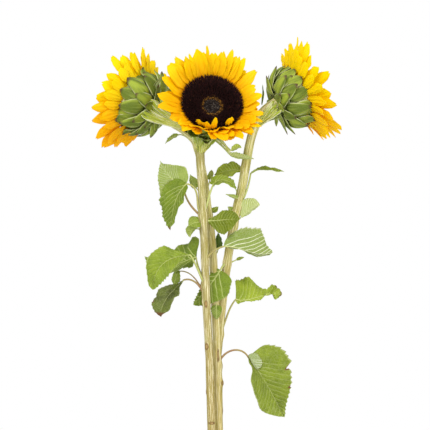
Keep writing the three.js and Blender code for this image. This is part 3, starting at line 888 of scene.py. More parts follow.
def makeBlade(name, number):
    leaf, look = leaves[name], bladeLook
    ruffle, dry, _, slope = leafLook(name)[1:5]
    length, rightHalf, leftHalf = leaf["blade"]
    large = length >= look["largeFrom"]
    rows = int(np.clip(length / look["rowGap"], *look["rows"]))
    t = np.linspace(0, 1, rows)
    v = t - 0.55 * np.sin(2 * np.pi * t) / (2 * np.pi)
    _, fine, *lines = leafPath(leaf)
    rib, forward, side, face = (readAt(v, fine, line)[:, None] for line in lines)
    forward, side, face = unit(forward), unit(side), unit(face)
    v = v[:, None]
    u = np.linspace(-1, 1, look["colsLarge"] if large else look["colsSmall"])[None, :]
    hand, edge = np.sign(u), np.abs(u)
    half = np.maximum(look["leastHalf"], bladeOutline(leaf, v) * np.where(u > 0, rightHalf, leftHalf))
    for onHand, at, reach, extra in swells.get(name, []):
        half = half + extra * bell(v - at, reach) * (hand == onHand) * smooth(0, 0.05, 1 - v)
    # teeth, and a slower waver of the edge
    size = np.sqrt(length / 60)
    walked = np.cumsum(np.hypot(np.gradient(half[:, :1], axis=0), np.gradient(v * length, axis=0)), axis=0)
    turn = walked / (look["toothGap"] * size) + 0.37 * np.sin(number) + 0.15 * ripple(number, walked / 9)
    ends = smooth(0.03, 0.14, v) * smooth(0.0, 0.06, 1 - v)
    tooth = look["tooth"] * size * ((turn % 1) ** 1.4 - 0.45) * ends * (0.6 + 0.4 * hand * np.cos(number))
    waver = look["waver"] * length * ripple(number + 3, 5 * v, 2 * hand) * ends * (0.6 if large else 0.2)
    x = u * half + hand * (edge**8 * tooth + edge**3 * waver)
    torn = 0 * x
    for onHand, at, reach, depth in nicks.get(name, []):
        there = (hand == onHand) * edge**5
        x = x - onHand * depth * bell(v - at, reach) * there
        torn = torn + 1.4 * bell(v - at, 1.5 * reach) * there
    lobe = v / look["lobeReach"]
    behind = lobe * np.exp(1 - lobe) * leaf["lobes"] * length * edge**1.5
    y = v * length - behind
    # veins sink in and the skin between them puffs up
    spacing = veinSpacing(name)
    far, turn = veinDistance(x, y, slope, spacing)
    vein = bell(far, look["veinHalf"]) * (turn > veinFoot(slope)) * (1 - 0.6 * edge**2)
    puff = smooth(0.0, 0.42 * spacing, far) * (1 - edge**4) * smooth(0, 2.2, np.abs(x))
    lift = look["puff"] * (puff - 0.5) - look["groove"] * np.maximum(vein, bell(x, look["ribHalf"]))
    lift = size * (lift + look["rough"] * ripple(number + 7, x / 2.2, y / 2.2))
    wave = np.sin(2 * np.pi * (2.4 * v + 0.31 * number) + 1.3 * hand)
    wave = wave + 0.6 * np.sin(2 * np.pi * 4.3 * v + number)
    broad = min(1.0, half.max() / (0.3 * length + 1))
    lift = lift + look["ruffle"] * ruffle * length * wave * edge**2.4 * ends * broad
    if name in crumples:
        begins, deep = crumples[name]
        lift = lift + deep * smooth(begins - 0.05, begins + 0.1, v) * ripple(number + 20, 11 * v, 2.2 * u)
    fold = math.radians(leaf["fold"])
    grid = offLine(rib, side, x * math.cos(fold), face, np.abs(x) * math.sin(fold) + lift)
    grid = grid - forward * behind[..., None]
    place = np.stack([x / 10, y / 10, np.full(x.shape, number * 1.7)], -1)
    spots = 0.55 * edge**10 * (ripple(number + 11, 7 * v, 2 * hand) > 0.35)
    dried = dry * np.clip(smooth(0.80 if dry > 0.85 else 0.86, 1.0, v) + spots, 0, 1)
    marks = {
        "grain": place,
        "rim": np.maximum(edge**2, smooth(0.93, 1.0, v)),
        "dry": np.maximum(dried, np.clip(torn, 0, 1)),
    }
    return shell(grid, look["thickness"], marks)


# basal lobe of the lowest leaf, folded over onto its upper face
lobeLook = {
    "length": 21.0,
    "half": 8.5,
    "back": 2.0,
    "aside": -1.0,
    "lift": 1.3,
    "thickness": 0.4,
    "rows": 32,
    "cols": 23,
    "green": "#8c9c58",
    "pale": "#aab67e",
    "vein": "#e9edd2",
    "net": "#d6dcb4",
    "rim": "#b98d6c",
}


def makeLobe(name):
    leaf, look = leaves[name], lobeLook
    _, fine, rib, forward, side, face = leafPath(leaf)
    s = np.linspace(0, 1, look["rows"])[:, None]
    t = np.linspace(-1, 1, look["cols"])[None, :]
    ends = (2 * s - 1) ** 2
    half = look["half"] * np.sqrt(np.maximum(1 - ends, 0.01)) * (1 + 0.12 * ripple(5, 6 * s, t))
    x = look["aside"] + half * t
    y = look["length"] * s - look["back"]
    lift = look["lift"] + 0.5 * t**2 + 0.5 * ripple(6, 4 * s, 2 * t)
    lift = lift + np.abs(x) * math.sin(math.radians(leaf["fold"]))
    at = np.interp(np.clip(y[:, 0], 0, None) / leaf["blade"][0], fine, np.arange(len(fine))).astype(int)
    rib, side, face = (line[at][:, None] for line in (rib, side, face))
    grid = offLine(rib, side, x, face, lift) + forward[0] * np.minimum(y, 0)[..., None]
    place = np.stack([x / 10, y / 10 + 0 * x, np.full(x.shape, 9.1)], -1)
    return shell(grid, look["thickness"], {"grain": place, "rim": np.maximum(t**2, ends), "dry": 0 * x})


def lobeFinish():
    look = lobeLook
    w = newMaterial("folded lobe")
    place = w.mark("grain", "Vector")
    mirrored = w.stretched(place, (1, -1, 1))
    vein, net = w.use(veinsGroup, {"Place": place, "Slope": 1.1, "Spacing": 0.36, "Width": 0.03})[0:2]
    crossing = w.use(veinsGroup, {"Place": mirrored, "Slope": 0.9, "Spacing": 0.42, "Width": 0.03})[0]
    fine = w.noise(place, 14.0, 3.0)
    color = w.lay(look["green"], look["pale"], fine, 0.4, 0.65)
    color = w.blend(w.times(w.larger(vein, crossing), 0.85), color, look["vein"])
    color = w.blend(w.times(net, 0.3), color, look["net"])
    color = w.lay(color, look["rim"], w.mark("rim"), 0.90, 0.99, 0.6)
    normal = w.bump(w.plus(vein, fine), 0.5, 0.0005)
    return close(w, color, fine, (0.5, 0.7), normal, through=0.2, specular=0.2)


stalkLook = {
    "sides": 12,
    "thickLarge": 1.45,
    "thickSmall": 0.95,
    "underBlade": 0.86,
    "green": "#a9b25c",
    "pale": "#c3c883",
    "blush": "#8d5a43",
    "onBlade": "#c2c97e",
    "down": ("#e6e3c6", 1100.0, 0.4),
}


def makeStalk(name):
    leaf, look = leaves[name], stalkLook
    stalk, v, rib, _, side, face = leafPath(leaf)
    thick = look["thickLarge"] if leaf["blade"][0] >= bladeLook["largeFrom"] else look["thickSmall"]
    reach = int(len(rib) * look["underBlade"])
    v = v[1:reach]
    sunk = smooth(0, 0.10, v) * (0.30 + 0.45 * thick * (1 - v) ** 1.5)
    line = np.vstack([stalk, rib[1:reach] - face[1:reach] * sunk[:, None]])
    way = np.concatenate([np.linspace(0, 1, len(stalk)), 1 + v])
    ribRadius = thick * (0.66 - 0.24 * smooth(1.0, 1.12, way)) * np.maximum(2 - way, 0) ** 1.3
    radius = np.where(way <= 1, thick * (1 - 0.32 * way), ribRadius)
    radius = np.maximum(radius * (1 + 0.55 * bell(way * leaf["stalk"][0], 6.0)), 0.12)[:, None]
    sides = look["sides"]
    angles = ringAngles(sides)[None, :]
    uneven = 0.06 * np.cos(5 * angles) + 0.05 * ripple(3, way[:, None] * 7, np.cos(angles))
    points, faces, marks = tube(line, radius * (1 + uneven), sides, side[0])
    shade = leafLook(name)[3] * (1 - 0.75 * smooth(0.9, 1.6, way)) * (0.8 + 0.2 * ripple(9, way * 6))
    marks["blush"] = np.repeat(np.clip(shade, 0, 1), sides)[:, None]
    marks["onBlade"] = np.repeat(smooth(0.95, 1.05, way), sides)[:, None]
    return points, faces, marks


def leafFinish(kind, slope, spacing, strength):
    upper, under, veinColor, shade = leafColors[kind]
    w = newMaterial(f"leaf {kind} {spacing:.1f} {strength:.1f}")
    place = w.mark("grain", "Vector")
    width = (0.020 + 0.0030 * min(spacing, 7)) * (0.7 + strength)
    values = {"Place": place, "Slope": slope, "Spacing": spacing / 10, "Width": width}
    vein, net, puff, middle = w.use(veinsGroup, {**values, "Foot": veinFoot(slope)})[0:4]
    below = w.span(w.mark("side"), 0.55, 0.95)
    fine = w.noise(place, 14.0, 3.0)
    color = w.lay(upper, shade, w.noise(place, 0.8, 3.0), 0.35, 0.68, 0.8)
    color = w.blend(w.times(puff, 0.25), color, shade)
    color = w.blend(below, color, under)
    fromFoot = w.span(w.parts(place)[1], 0.0, 3.2, 1.0, 0.0)  # veins show whitest near the foot
    shown = w.times(w.plus(0.6, w.times(fromFoot, 0.5)), strength)
    shown = w.larger(shown, w.times(below, min(0.95, 1.5 * strength)))
    color = w.blend(w.times(net, 0.15), color, veinColor)
    color = w.blend(w.times(vein, shown), color, veinColor)
    color = w.blend(w.times(middle, w.plus(0.2, w.times(fromFoot, 0.6))), color, veinColor)
    color = w.lay(color, veinColor, w.mark("rim"), 0.88, 0.99, 0.7)
    color = w.lay(color, shade, fine, 0.55, 0.75, 0.18)
    color = withDown(w, color, *skinLook["down"])
    dry = w.plus(w.mark("dry"), w.times(w.minus(fine, 0.5), 0.5))
    color = w.lay(color, skinLook["dry"], dry, 0.35, 0.7)
    raised = w.plus(w.times(puff, 0.5), w.times(fine, 0.25))
    height = w.minus(raised, w.times(w.larger(w.larger(vein, middle), net), 0.45))
    normal = w.bump(height, 0.55, 0.0007)
    through, specular = skinLook["through"], skinLook["specular"]
    return close(w, color, fine, (0.5, 0.7), normal, through=through, specular=specular)


def stalkFinish():
    look = stalkLook
    w = newMaterial("leaf stalk skin")
    streak = streaksOf(w, 4.0, 0.35)[0]
    color = w.lay(look["green"], look["pale"], streak, 0.4, 0.65)
    red = w.times(w.mark("blush"), w.span(streak, 0.3, 0.6, 0.75, 1.0))
    color = w.blend(red, color, look["blush"])
    color = w.blend(w.times(w.mark("onBlade"), 0.8), color, look["onBlade"])
    color = withDown(w, color, *look["down"])
    return close(w, color, streak, (0.5, 0.7), w.bump(streak, 0.4, 0.0004), specular=0.25)


# down on the skins: fine hairs by Geometry Nodes

hairLook = {
    "stems": {"density": 120000.0, "length": 0.9, "seed": 3},
    "stalks": {"density": 160000.0, "length": 0.8, "seed": 5},
    "bracts": {"density": 60000.0, "length": 1.0, "seed": 7},
}
hairForm = {"rings": [(0.045, 0.0), (0.03, 0.5), (0.0, 1.0)], "sides": 3, "lean": 0.7}
hairColors = ("#e9e6cf", "#c9cb9e")


def buildHairTree():
    sizes = {
        "Density": ("Float", 1000.0), "Length": ("Float", 1.0), "Seed": ("Int", 1),
        "Hair": ("Object", None), "Skin": ("Material", None),
    }
    w, given, out = newGeometryTree("down on a skin", sizes)
    values = {"Mesh": given["Geometry"], "Density": given["Density"], "Seed": given["Seed"]}
    spread = w.add("GeometryNodeDistributePointsOnFaces", values).outputs
    turned = upAlong(w, w.shifted(spread["Normal"], randomWay(w, hairForm["lean"], given["Seed"])))
    size = w.vector(1.0, 1.0, w.times(given["Length"], randomValue(w, 0.45, 1.3, 4)))
    hairs = repeated(w, spread["Points"], given["Hair"], turned, size)
    endTree(w, hairs, given["Skin"], out)
    return w.tree


def hairFinish():
    w = newMaterial("plant down")
    grain = w.noise(objectPlace(w), 300.0, 2.0)
    color = w.lay(*hairColors, grain, 0.35, 0.65)
    return close(w, color, grain, (0.5, 0.7), through=0.3)


# stems and necks

stemLook = {
    "sides": 48,
    "seeds": {"front": 1, "left": 2, "right": 3},
    "ringGap": 1.5,
    "ridges": (17, 29),
    "ridgeDepth": (0.30, 0.20),
    "nodeSwell": 0.75,
    "nodeReach": 4.5,
    "nodeScar": 0.28,
    "uneven": (0.16, 0.22),
    "flare": 1.5,
    "flareReach": 9.0,
    "footDepth": 9.0,
    "low": "#c6b36c",
    "middle": "#c6ba70",
    "high": "#cac56e",
    "neck": "#e0dc92",
    # heights in metres between which one colour gives way to the next
    "middleFrom": (0.08, 0.30),
    "highFrom": (0.28, 0.38),
    "neckFrom": (0.385, 0.43),
    # painted shade: a colour multiplied into the stems, darker low down than high up, most on the front stem,
    # which the key light reaches fully
    "paintedShadeFrom": (0.12, 0.27),
    "ripe": {"front": 0.92, "left": 0.0, "right": 0.12},
    "paintedShadeLow": "#bfb69f",
    "paintedShadeHigh": "#c9c8cc",
    "streak": "#9a8b46",
    "pale": "#e6dcb4",
    "scar": "#6f5026",
    "healed": "#b0935a",
    "cloud": "#a8ad55",
    "fleck": "#8a7440",
    "down": ("#eeead0", 1100.0, 0.35),
}
footTop = 14.85
stems = {
    "front": {
        "radii": [5.3, 4.4, 4.9],
        "route": [
            [-4, -10, footTop], [-4, -11, 73], [-6.5, -9, 157], [-10, -6, 216], [-12.5, -3, 294],
            [-15, -2, 348], [-17.5, -2, 396],
        ],
        "neck": [[-18, 0, 410.5], [-15.5, 6, 426], [-10.5, 9, 439]],
        "neckRadii": [4.9, 5.4],
    },
    "left": {
        "radii": [5.3, 4.5, 4.3],
        "route": [
            [4.5, 1.5, footTop], [4, 2, 71], [3, 6, 155], [0.5, 11, 215], [-3.5, 14, 293],
            [-9, 13, 342], [-16.5, 11, 390], [-21.5, 10, 412],
        ],
        "neck": [[-27, 9.5, 423], [-38, 9, 432.5], [-51, 9, 442]],
        "neckRadii": [4.4, 7.0],
    },
    "right": {
        "radii": [5.2, 4.9, 5.0],
        "route": [
            [-2, 12.8, footTop], [-1.5, 14, 70], [2.5, 19, 160], [8.5, 21, 221], [16, 20, 281],
            [26.5, 17, 338], [33, 15, 366], [41, 10, 412],
        ],
        "neck": [[45, 9, 427.5], [51, 8, 443], [60, 7, 455]],
        "neckRadii": [5.0, 7.5],
    },
}
# old leaf scars and nicks: stem, height, heading, length along, width, how deep
scars = [
    ["front", 224, -95, 5, 2.4, 0.5], ["left", 160, -78, 9, 1.7, 0.5], ["left", 128, -22, 3.6, 3.2, -2.2],
    ["front", 119, -168, 2, 1.6, -0.6], ["front", 173, -128, 4.5, 3.6, -0.6], ["front", 82, -85, 2, 6.0, 0.5],
    ["left", 95, 20, 4, 3.0, -0.7], ["right", 120, 60, 5, 3.0, 0.4], ["right", 205, 120, 4, 3.0, -0.6],
    ["front", 140, 140, 4, 3.0, 0.5], ["left", 210, 100, 4, 3.0, -0.6], ["right", 60, 200, 5, 3.0, 0.4],
]
headDepth = 31.0


def facingOf(name):
    return direction(heads[name]["heading"], heads[name]["pitch"])


# middle line of a stem with its neck, as the leaves find it
def wholeRoute(name, neckShift=0.35):
    stem = stems[name]
    end = np.array(heads[name]["at"]) - facingOf(name) * (headDepth + neckShift)
    return [*stem["route"], *stem["neck"], end.tolist()]


def makeStem(name):
    stem, look = stems[name], stemLook
    count = len(stem["route"])
    route = wholeRoute(name)
    share = np.linspace(0, 1, 900)
    fine = routeAt(route, share)
    below = fine[0] - np.outer(np.arange(6, 0, -1) / 6, [0, 0, look["footDepth"]])
    into = fine[-1] + np.outer(np.arange(1, 4), facingOf(name))
    way = share * (len(route) - 1)
    turn = way / (count - 1)
    neck = np.clip((way - (count - 1)) / (len(route) - count), 0, 1)
    low, high = stem["neckRadii"]
    radius = np.where(turn < 1, along(stem["radii"], np.minimum(turn, 1)), low + (high - low) * neck**2.5)
    fine = np.vstack([below, fine, into])
    radius = np.concatenate([np.full(6, radius[0]), radius, np.full(3, radius[-1])])
    length = walkedAlong(fine)
    even = np.linspace(0, length[-1], int(length[-1] / look["ringGap"]))
    centres = readAt(even, length, fine)
    radius = np.interp(even, length, radius)[:, None]
    height = centres[:, 2:]
    even = even[:, None]
    angles = ringAngles(look["sides"])[None, :]
    seed = look["seeds"][name]
    ridges, depths = look["ridges"], look["ridgeDepth"]
    sway = 0.5 * ripple(seed, even / 60)
    lift = depths[0] * np.cos(ridges[0] * angles + sway) + depths[1] * np.cos(ridges[1] * angles - 2 * sway)
    fineWave, broadWave = look["uneven"]
    lift = lift + fineWave * ripple(seed + 5, even / 9, np.cos(angles) * 2, np.sin(angles) * 2)
    lift = lift + broadWave * ripple(seed + 9, even / 30, np.cos(angles), np.sin(angles))
    flare = look["flare"] * bell(height - footTop, look["flareReach"]) * (height < 60)
    lift = lift + flare * (1 + 0.4 * np.cos(5 * angles + seed))
    scar = np.zeros_like(lift)
    for leaf in leaves.values():
        if leaf["stem"] != name:
            continue
        size = min(1.0, 0.35 + leaf["blade"][0] / 90)
        around = np.clip(np.cos(angles - np.radians(leaf["heading"])), 0, 1) ** 2
        near = bell(height - leaf["height"], look["nodeReach"])
        lift = lift + look["nodeSwell"] * size * near * (0.35 + 1.1 * around)
        scar = scar + look["nodeScar"] * bell(height - leaf["height"] + 3, 2.2) * around
    for owner, at, heading, tall, wide, depth in scars:
        if owner != name:
            continue
        aside = np.angle(np.exp(1j * (angles - np.radians(heading)))) * 5
        mask = bell(height - at, tall) * bell(aside, wide)
        rim = bell(height - at, tall * 1.5) * bell(aside, wide * 1.5) - mask
        lift = lift - depth * mask + 0.35 * rim
        scar = scar + mask
    points, faces, marks = tube(centres, radius + lift, look["sides"])
    marks["scar"] = np.clip(scar, 0, 1).reshape(-1, 1)
    # share of painted shade that this stem takes
    marks["ripe"] = np.full((len(points), 1), look["ripe"][name])
    return points, faces, marks


def stemFinish():
    look = stemLook
    w = newMaterial("stem skin")
    place = objectPlace(w)
    streak, cloud = streaksOf(w, 8.0, 0.05)
    height = w.parts(place)[2]
    color = look["low"]
    for key in ("middle", "high", "neck"):
        color = w.lay(color, look[key], height, *look[key + "From"])
    # painted shade, multiplied into the stem colour, stronger low on the stem
    shadeTint = w.lay(look["paintedShadeLow"], look["paintedShadeHigh"], height, *look["paintedShadeFrom"])
    color = w.blend(w.mark("ripe"), color, shadeTint, "MULTIPLY")
    color = w.lay(color, look["streak"], streak, 0.50, 0.57, 0.9)
    color = w.lay(color, look["pale"], streak, 0.47, 0.40, 0.9)
    color = w.lay(color, look["cloud"], cloud, 0.5, 0.75, 0.25)
    flecks = w.noise(w.stretched(place, (1, 1, 0.35)), 420.0, 2.0)
    color = w.lay(color, look["fleck"], flecks, 0.68, 0.76, 0.55)
    roughScar = w.plus(w.mark("scar"), w.times(w.minus(flecks, 0.5), 0.7))
    color = w.lay(color, look["scar"], roughScar, 0.3, 0.65, 0.9)
    color = w.lay(color, look["healed"], roughScar, 0.7, 0.95, 0.8)
    color = withDown(w, color, *look["down"])
    values = {"Strength": 0.35, "Distance": 0.0003, "Height": flecks, "Normal": w.bump(streak, 0.5, 0.0006)}
    normal = w.add("ShaderNodeBump", values).outputs[0]
    return close(w, color, streak, (0.5, 0.72), normal, specular=0.25)


# crown of the roots, flat on the ground

footLook = {
    "top": 14.5,
    "shoulder": 2.2,
    "radius": 24.0,
    "waist": 17.5,
    "narrow": 0.82,
    "buttress": 0.09,
    "lobes": 5,
    "sides": 160,
    # waves round the crown: depth and count
    "ribs": ((0.35, 31), (0.25, 53)),
    "lumps": 0.7,
    "centre": (0.5, 1.0),
    "color": "#b29c60",
    "dark": "#6c5530",
    "pale": "#d3c28d",
}


def makeFoot():
    look = footLook
    top, waist, shoulder, sides = look["top"], look["waist"], look["shoulder"], look["sides"]
    # rings: out along the flat underside, up the flare, then in over the round shoulder
    rows = [(look["radius"] * share, 0.0) for share in (0.02, 0.25, 0.5, 0.75, 0.93)]
    for share in np.linspace(0, 1, 26) ** 1.1:
        rows.append((waist + (look["radius"] - waist) * (1 - share) ** 2, share * (top - shoulder)))
    for share in (0.97, 0.9, 0.75, 0.55, 0.35, 0.15):
        rows.append((waist * share, top - shoulder + shoulder * (1 - ((share - 0.1) / 0.9) ** 2) ** 0.5))
    rows = np.array(rows + [(0.4, top)])
    radius, height = rows[:, :1], rows[:, 1:]
    angles = ringAngles(sides)[None, :]
    share = np.clip(height / top, 0, 1)
    reach = radius * (1 + look["buttress"] * (1 - share) * np.cos(look["lobes"] * angles))
    above = smooth(0.0, 0.15, share) * smooth(3, 12, radius)
    (deep, count), (fineDeep, fineCount) = look["ribs"]
    ribs = deep * np.cos(count * angles + 2 * share) + fineDeep * np.cos(fineCount * angles - 3 * share)
    lumps = look["lumps"] * ripple(4, share * 4, 3 * np.cos(angles), 3 * np.sin(angles))
    reach = reach + above * (ribs + lumps)
    x = reach * np.cos(angles) * look["narrow"] + look["centre"][0]
    y = reach * np.sin(angles) + look["centre"][1]
    z = height + above * 0.5 * ripple(8, x / 3, y / 3) * (share > 0.5)
    points = np.stack([x, y, np.maximum(z, 0)], -1).reshape(-1, 3)
    return points, ringFaces(len(rows), sides), {}


def footFinish():
    look = footLook
    w = newMaterial("root crown skin")
    place = objectPlace(w)
    fibre = w.noise(w.stretched(place, (1, 1, 0.12)), 520.0, 4.0, 0.65)
    color = w.lay(look["color"], look["dark"], fibre, 0.4, 0.65)
    color = w.lay(color, look["pale"], w.noise(place, 90.0, 3.0), 0.5, 0.7, 0.6)
    return close(w, color, fibre, (0.65, 0.9), w.bump(fibre, 0.8, 0.0008), sheen=0.05)


# flower heads: place, heading (0 is +X, -90 the viewer), pitch, and their ray florets

heads = {
    "front": {
        "at": [-4, -23, 461], "heading": -82, "pitch": 25, "seed": 11,
        # clock angle from the right, length, half width, lean from the axis
        "rays": [
            [0, 34, 6, 40], [15, 28, 6, 40], [32, 38, 6, 50], [50, 40, 5, 50], [58, 38, 5, 50],
            [66, 42, 4, 50], [76, 38, 6, 45], [86, 36, 6, 40], [94, 44, 2, 40], [105, 40, 7, 45],
            [116, 38, 3, 45], [124, 38, 6, 40], [132, 42, 6, 50], [142, 40, 8, 50], [160, 38, 8, 55],
            [185, 48, 6, 45], [196, 52, 6, 45], [210, 34, 6, 50], [230, 42, 6, 45], [244, 16, 8, 5],
            [256, 22, 5, 10], [268, 36, 4, 5], [276, 48, 6, 40], [288, 40, 4, 40], [296, 46, 4, 45],
            [303, 20, 6, 5], [310, 44, 4, 50], [319, 44, 4, 50], [328, 40, 5, 50], [338, 36, 4, 50],
            [350, 30, 6, 45],
        ],
        # crumpled rays that close the lower rim
        "foldedRays": [
            [222, 34, 7, 40], [236, 30, 8, 30], [248, 24, 8, 24], [258, 26, 8, 30], [270, 24, 7, 24],
            [283, 32, 8, 30], [292, 28, 8, 22], [304, 34, 8, 34], [314, 36, 8, 40], [326, 36, 7.5, 42],
            [242, 26, 7, 44], [266, 30, 7, 42], [298, 36, 7, 46],
        ],
    },
    # rayRule: count, length and its spread, lean and its spread, half width
    "left": {
        "at": [-93.5, 24, 467], "heading": 147, "pitch": 16, "seed": 3,
        "rayRule": (23, 36, 9, 50, 18, 8.2),
    },
    "right": {
        "at": [101, 14, 475], "heading": 14, "pitch": 22, "seed": 8,
        "rayRule": (23, 39, 12, 52, 20, 7.8),
    },
}
petalLook = {
    "rows": 26,
    "cols": 13,
    "thickness": 0.28,
    # distance from the head's axis and height of a petal's foot
    "foot": (33.6, -1.0),
    "innerFoot": (34.2, -2.4),
    "foldedFoot": (34.5, -1.5),
    # rays that lean less than this stand up before the disc and bend over it
    "foldedBelow": 15,
    "foldedBow": -46,
    "bow": 12.0,
    "sway": 7.0,
    "twist": 22.0,
    "cup": 0.16,
    "pleat": 0.11,
    "ragged": 0.045,
    "notch": 0.05,
    "widthShare": {"front": 1.38, "left": 1.0, "right": 1.0},
    "innerShare": 0.84,
    "innerHalf": 7.0,
    "innerLean": {"front": 7, "left": 13, "right": 14},
    "tip": "#ffe800",
    "middle": "#ffd800",
    "base": "#ffb800",
    "streak": "#f59200",
    "cloud": "#ffc800",
    "shade": "#ffbf00",
    "under": "#fff200",
    "through": 0.42,
    "blunt": {"front": 0.48, "left": 0.34, "right": 0.30},
    # orange painted shade laid on the lower rays, which face away from the light
    "lower": "#ffb400",
    # where the orange painted shade of the lower rays begins and is full: height, and place to the side, in
    # metres
    "lowShadeHeights": (0.486, 0.44),
    "lowShadeSides": (-0.06, -0.04),
}


# a head's own right, up and facing as columns, and its place
def headFrame(name):
    facing = facingOf(name)
    right = unit(np.cross([0.0, 0.0, 1.0], facing))
    return np.stack([right, np.cross(facing, right), facing], 1), np.array(heads[name]["at"], float)


def toWorld(name, part):
    turn, at = headFrame(name)
    points, faces, marks = part
    return points @ turn.T + at, faces, marks


def listRays(flower):
    if "rays" in flower:
        return flower["rays"]
    count, length, spread, lean, leanSpread, half = flower["rayRule"]
    rays = []
    for i in range(count):
        own = [chance(i, flower["seed"] + k) - 0.5 for k in range(4)]
        clock = (360 / count) * (i + 0.6 * own[0])
        rays.append([clock, length + spread * own[2], half * (1 + 0.4 * own[3]), lean + leanSpread * own[1]])
    return rays


def roundAbout(clock):
    c = np.radians(clock)
    out = np.stack([np.cos(c), np.sin(c), 0 * c], -1)
    return out, np.stack([-np.sin(c), np.cos(c), 0 * c], -1)


def makePetal(clock, length, half, lean, seed, blunt, foot):
    look = petalLook
    rows, cols = look["rows"], look["cols"]
    own = [chance(seed, 40 + k) - 0.5 for k in range(11)]
    v = np.linspace(0, 1, rows)
    folded = lean < look["foldedBelow"]
    bow = look["foldedBow"] if folded else look["bow"] * (1 + 1.6 * own[1])
    curl = 70 * own[2] if folded else 26 * own[2] + 10
    leans = np.radians(lean + bow * (v - 0.35) + curl * v**4)[:, None]
    out, around = roundAbout(clock + look["sway"] * own[3] * 2 * v + 5 * own[9] * np.sin(6 * v))
    ahead = np.array([0.0, 0.0, 1.0])
    step = np.sin(leans) * out + np.cos(leans) * ahead
    start = roundAbout(np.array(clock))[0] * foot[0] + ahead * foot[1]
    walked = np.cumsum((step[1:] + step[:-1]) / 2, axis=0) * length / (rows - 1)
    centres = start + np.vstack([np.zeros(3), walked])
    level = unit(step * np.sum(around * step, 1, keepdims=True) - around)
    face = np.cross(level, step)
    twist = np.radians(look["twist"] * (own[4] * 0.8 + own[5] * 2.2 * v))[:, None]
    across = np.cos(twist) * level + np.sin(twist) * face
    normal = np.cos(twist) * face - np.sin(twist) * level
    widest = 0.46 + 0.16 * own[6]
    fall = np.clip((v - widest) / (1 - widest), 0, 1)
    outline = (0.42 + 0.58 * smooth(-0.05, widest, v)) * (1 - (1 - blunt - 0.4 * own[7]) * fall**3.2)
    wide = half * outline[:, None]
    points = v
    v = v[:, None]
    u = np.linspace(-1, 1, cols)[None, :]
    cup = look["cup"] * (1 + 1.6 * own[8]) * (1.5 if folded else 1)
    # the ragged end: each line along the petal stops at its own length
    ends = 1 - (0.10 + 0.09 * own[10]) * u**2 - look["ragged"] * ripple(seed + 5, 1.9 * u)
    way = v * np.minimum(ends - look["notch"] * bell(u, 0.22), 1.0)
    pleats = look["pleat"] * min(half, 5.5) * (np.cos(9.42 * u) - 0.3) * (1 - v**3) * smooth(0, 0.15, v)
    crumple = 0.5 * ripple(seed, 5 * v, 1.6 * u) * (0.3 + 0.7 * v)
    edge = 0.9 * ripple(seed + 3, 9 * v) * np.abs(u) ** 3 * np.sign(u + 0.01)
    lift = cup * wide * u**2 + pleats + crumple + edge
    x = u * wide * (1 - 0.12 * cup * u**2) + 0.35 * np.abs(u) ** 4 * ripple(seed + 8, 12 * v)
    centres, across, normal = (readAt(way, points, line) for line in (centres, across, normal))
    grid = offLine(centres, across, x, normal, lift)
    place = np.stack([u * half / 6 + 0 * v, 3.7 * chance(seed, 77) + 0 * x, v + 0 * u], -1)
    return shell(grid, look["thickness"], {"grain": place})


def makePetals(name):
    flower, look = heads[name], petalLook
    rays = listRays(flower)
    seed = 100 * flower["seed"]
    blunt, folded = look["blunt"][name], look["foldedBelow"]
    petals = []
    for i, (clock, length, half, lean) in enumerate(rays):
        broad = half if lean < folded else half * look["widthShare"][name]
        petals.append(makePetal(clock, length, broad, lean, seed + i, blunt, look["foot"]))
        following = rays[(i + 1) % len(rays)]
        if lean < folded or following[3] < folded:
            continue
        own = [chance(i, seed + k) for k in range(3)]
        between = clock + (following[0] - clock) % 360 * (0.5 + 0.3 * (own[0] - 0.5))
        inner = look["innerShare"] * min(length, following[1]) * (0.86 + 0.22 * own[1])
        leaned = (lean + following[3]) / 2 + look["innerLean"][name] + 8 * (own[2] - 0.5)
        rest = (look["innerHalf"], leaned, seed + 50 + i, blunt, look["innerFoot"])
        petals.append(makePetal(between, inner, *rest))
    for i, (clock, length, half, lean) in enumerate(flower.get("foldedRays", [])):
        petals.append(makePetal(clock, length, half, lean, seed + 150 + i, blunt, look["foldedFoot"]))
    return toWorld(name, joined(petals))


def petalFinish():
    look = petalLook
    w = newMaterial("ray petal")
    own, y = w.parts(w.mark("grain", "Vector"))[1:3]
    streak, cloud = streaksOf(w, 5.0, 0.45)
    color = w.lay(look["base"], look["middle"], y, 0.02, 0.42)
    color = w.lay(color, look["tip"], y, 0.40, 0.95)
    pull = w.times(w.span(streak, 0.50, 0.72), w.span(y, 0.9, 0.1, 0.15, 0.75))
    color = w.blend(pull, color, look["streak"])
    color = w.lay(color, look["cloud"], cloud, 0.45, 0.7, 0.30)
    color = w.blend(w.times(w.math("FRACT", w.times(own, 5.3)), 0.3), color, look["shade"])
    color = w.blend(w.times(w.mark("side"), 0.8), color, look["under"])
    # painted shade: rays low on the clump turn orange, the upper rays keep the clear yellow
    sideways, _, height = w.parts(objectPlace(w))
    low = w.span(height, *look["lowShadeHeights"], 0.0, 0.55)  # painted shade: lower rays are more orange, most on the left
    color = w.blend(w.times(low, w.span(sideways, *look["lowShadeSides"], 1.0, 0.5)), color, look["lower"])
    normal = w.bump(streak, 0.2, 0.0003)
    return close(w, color, streak, (0.42, 0.6), normal, through=look["through"], specular=0.15)


# receptacle and its bracts

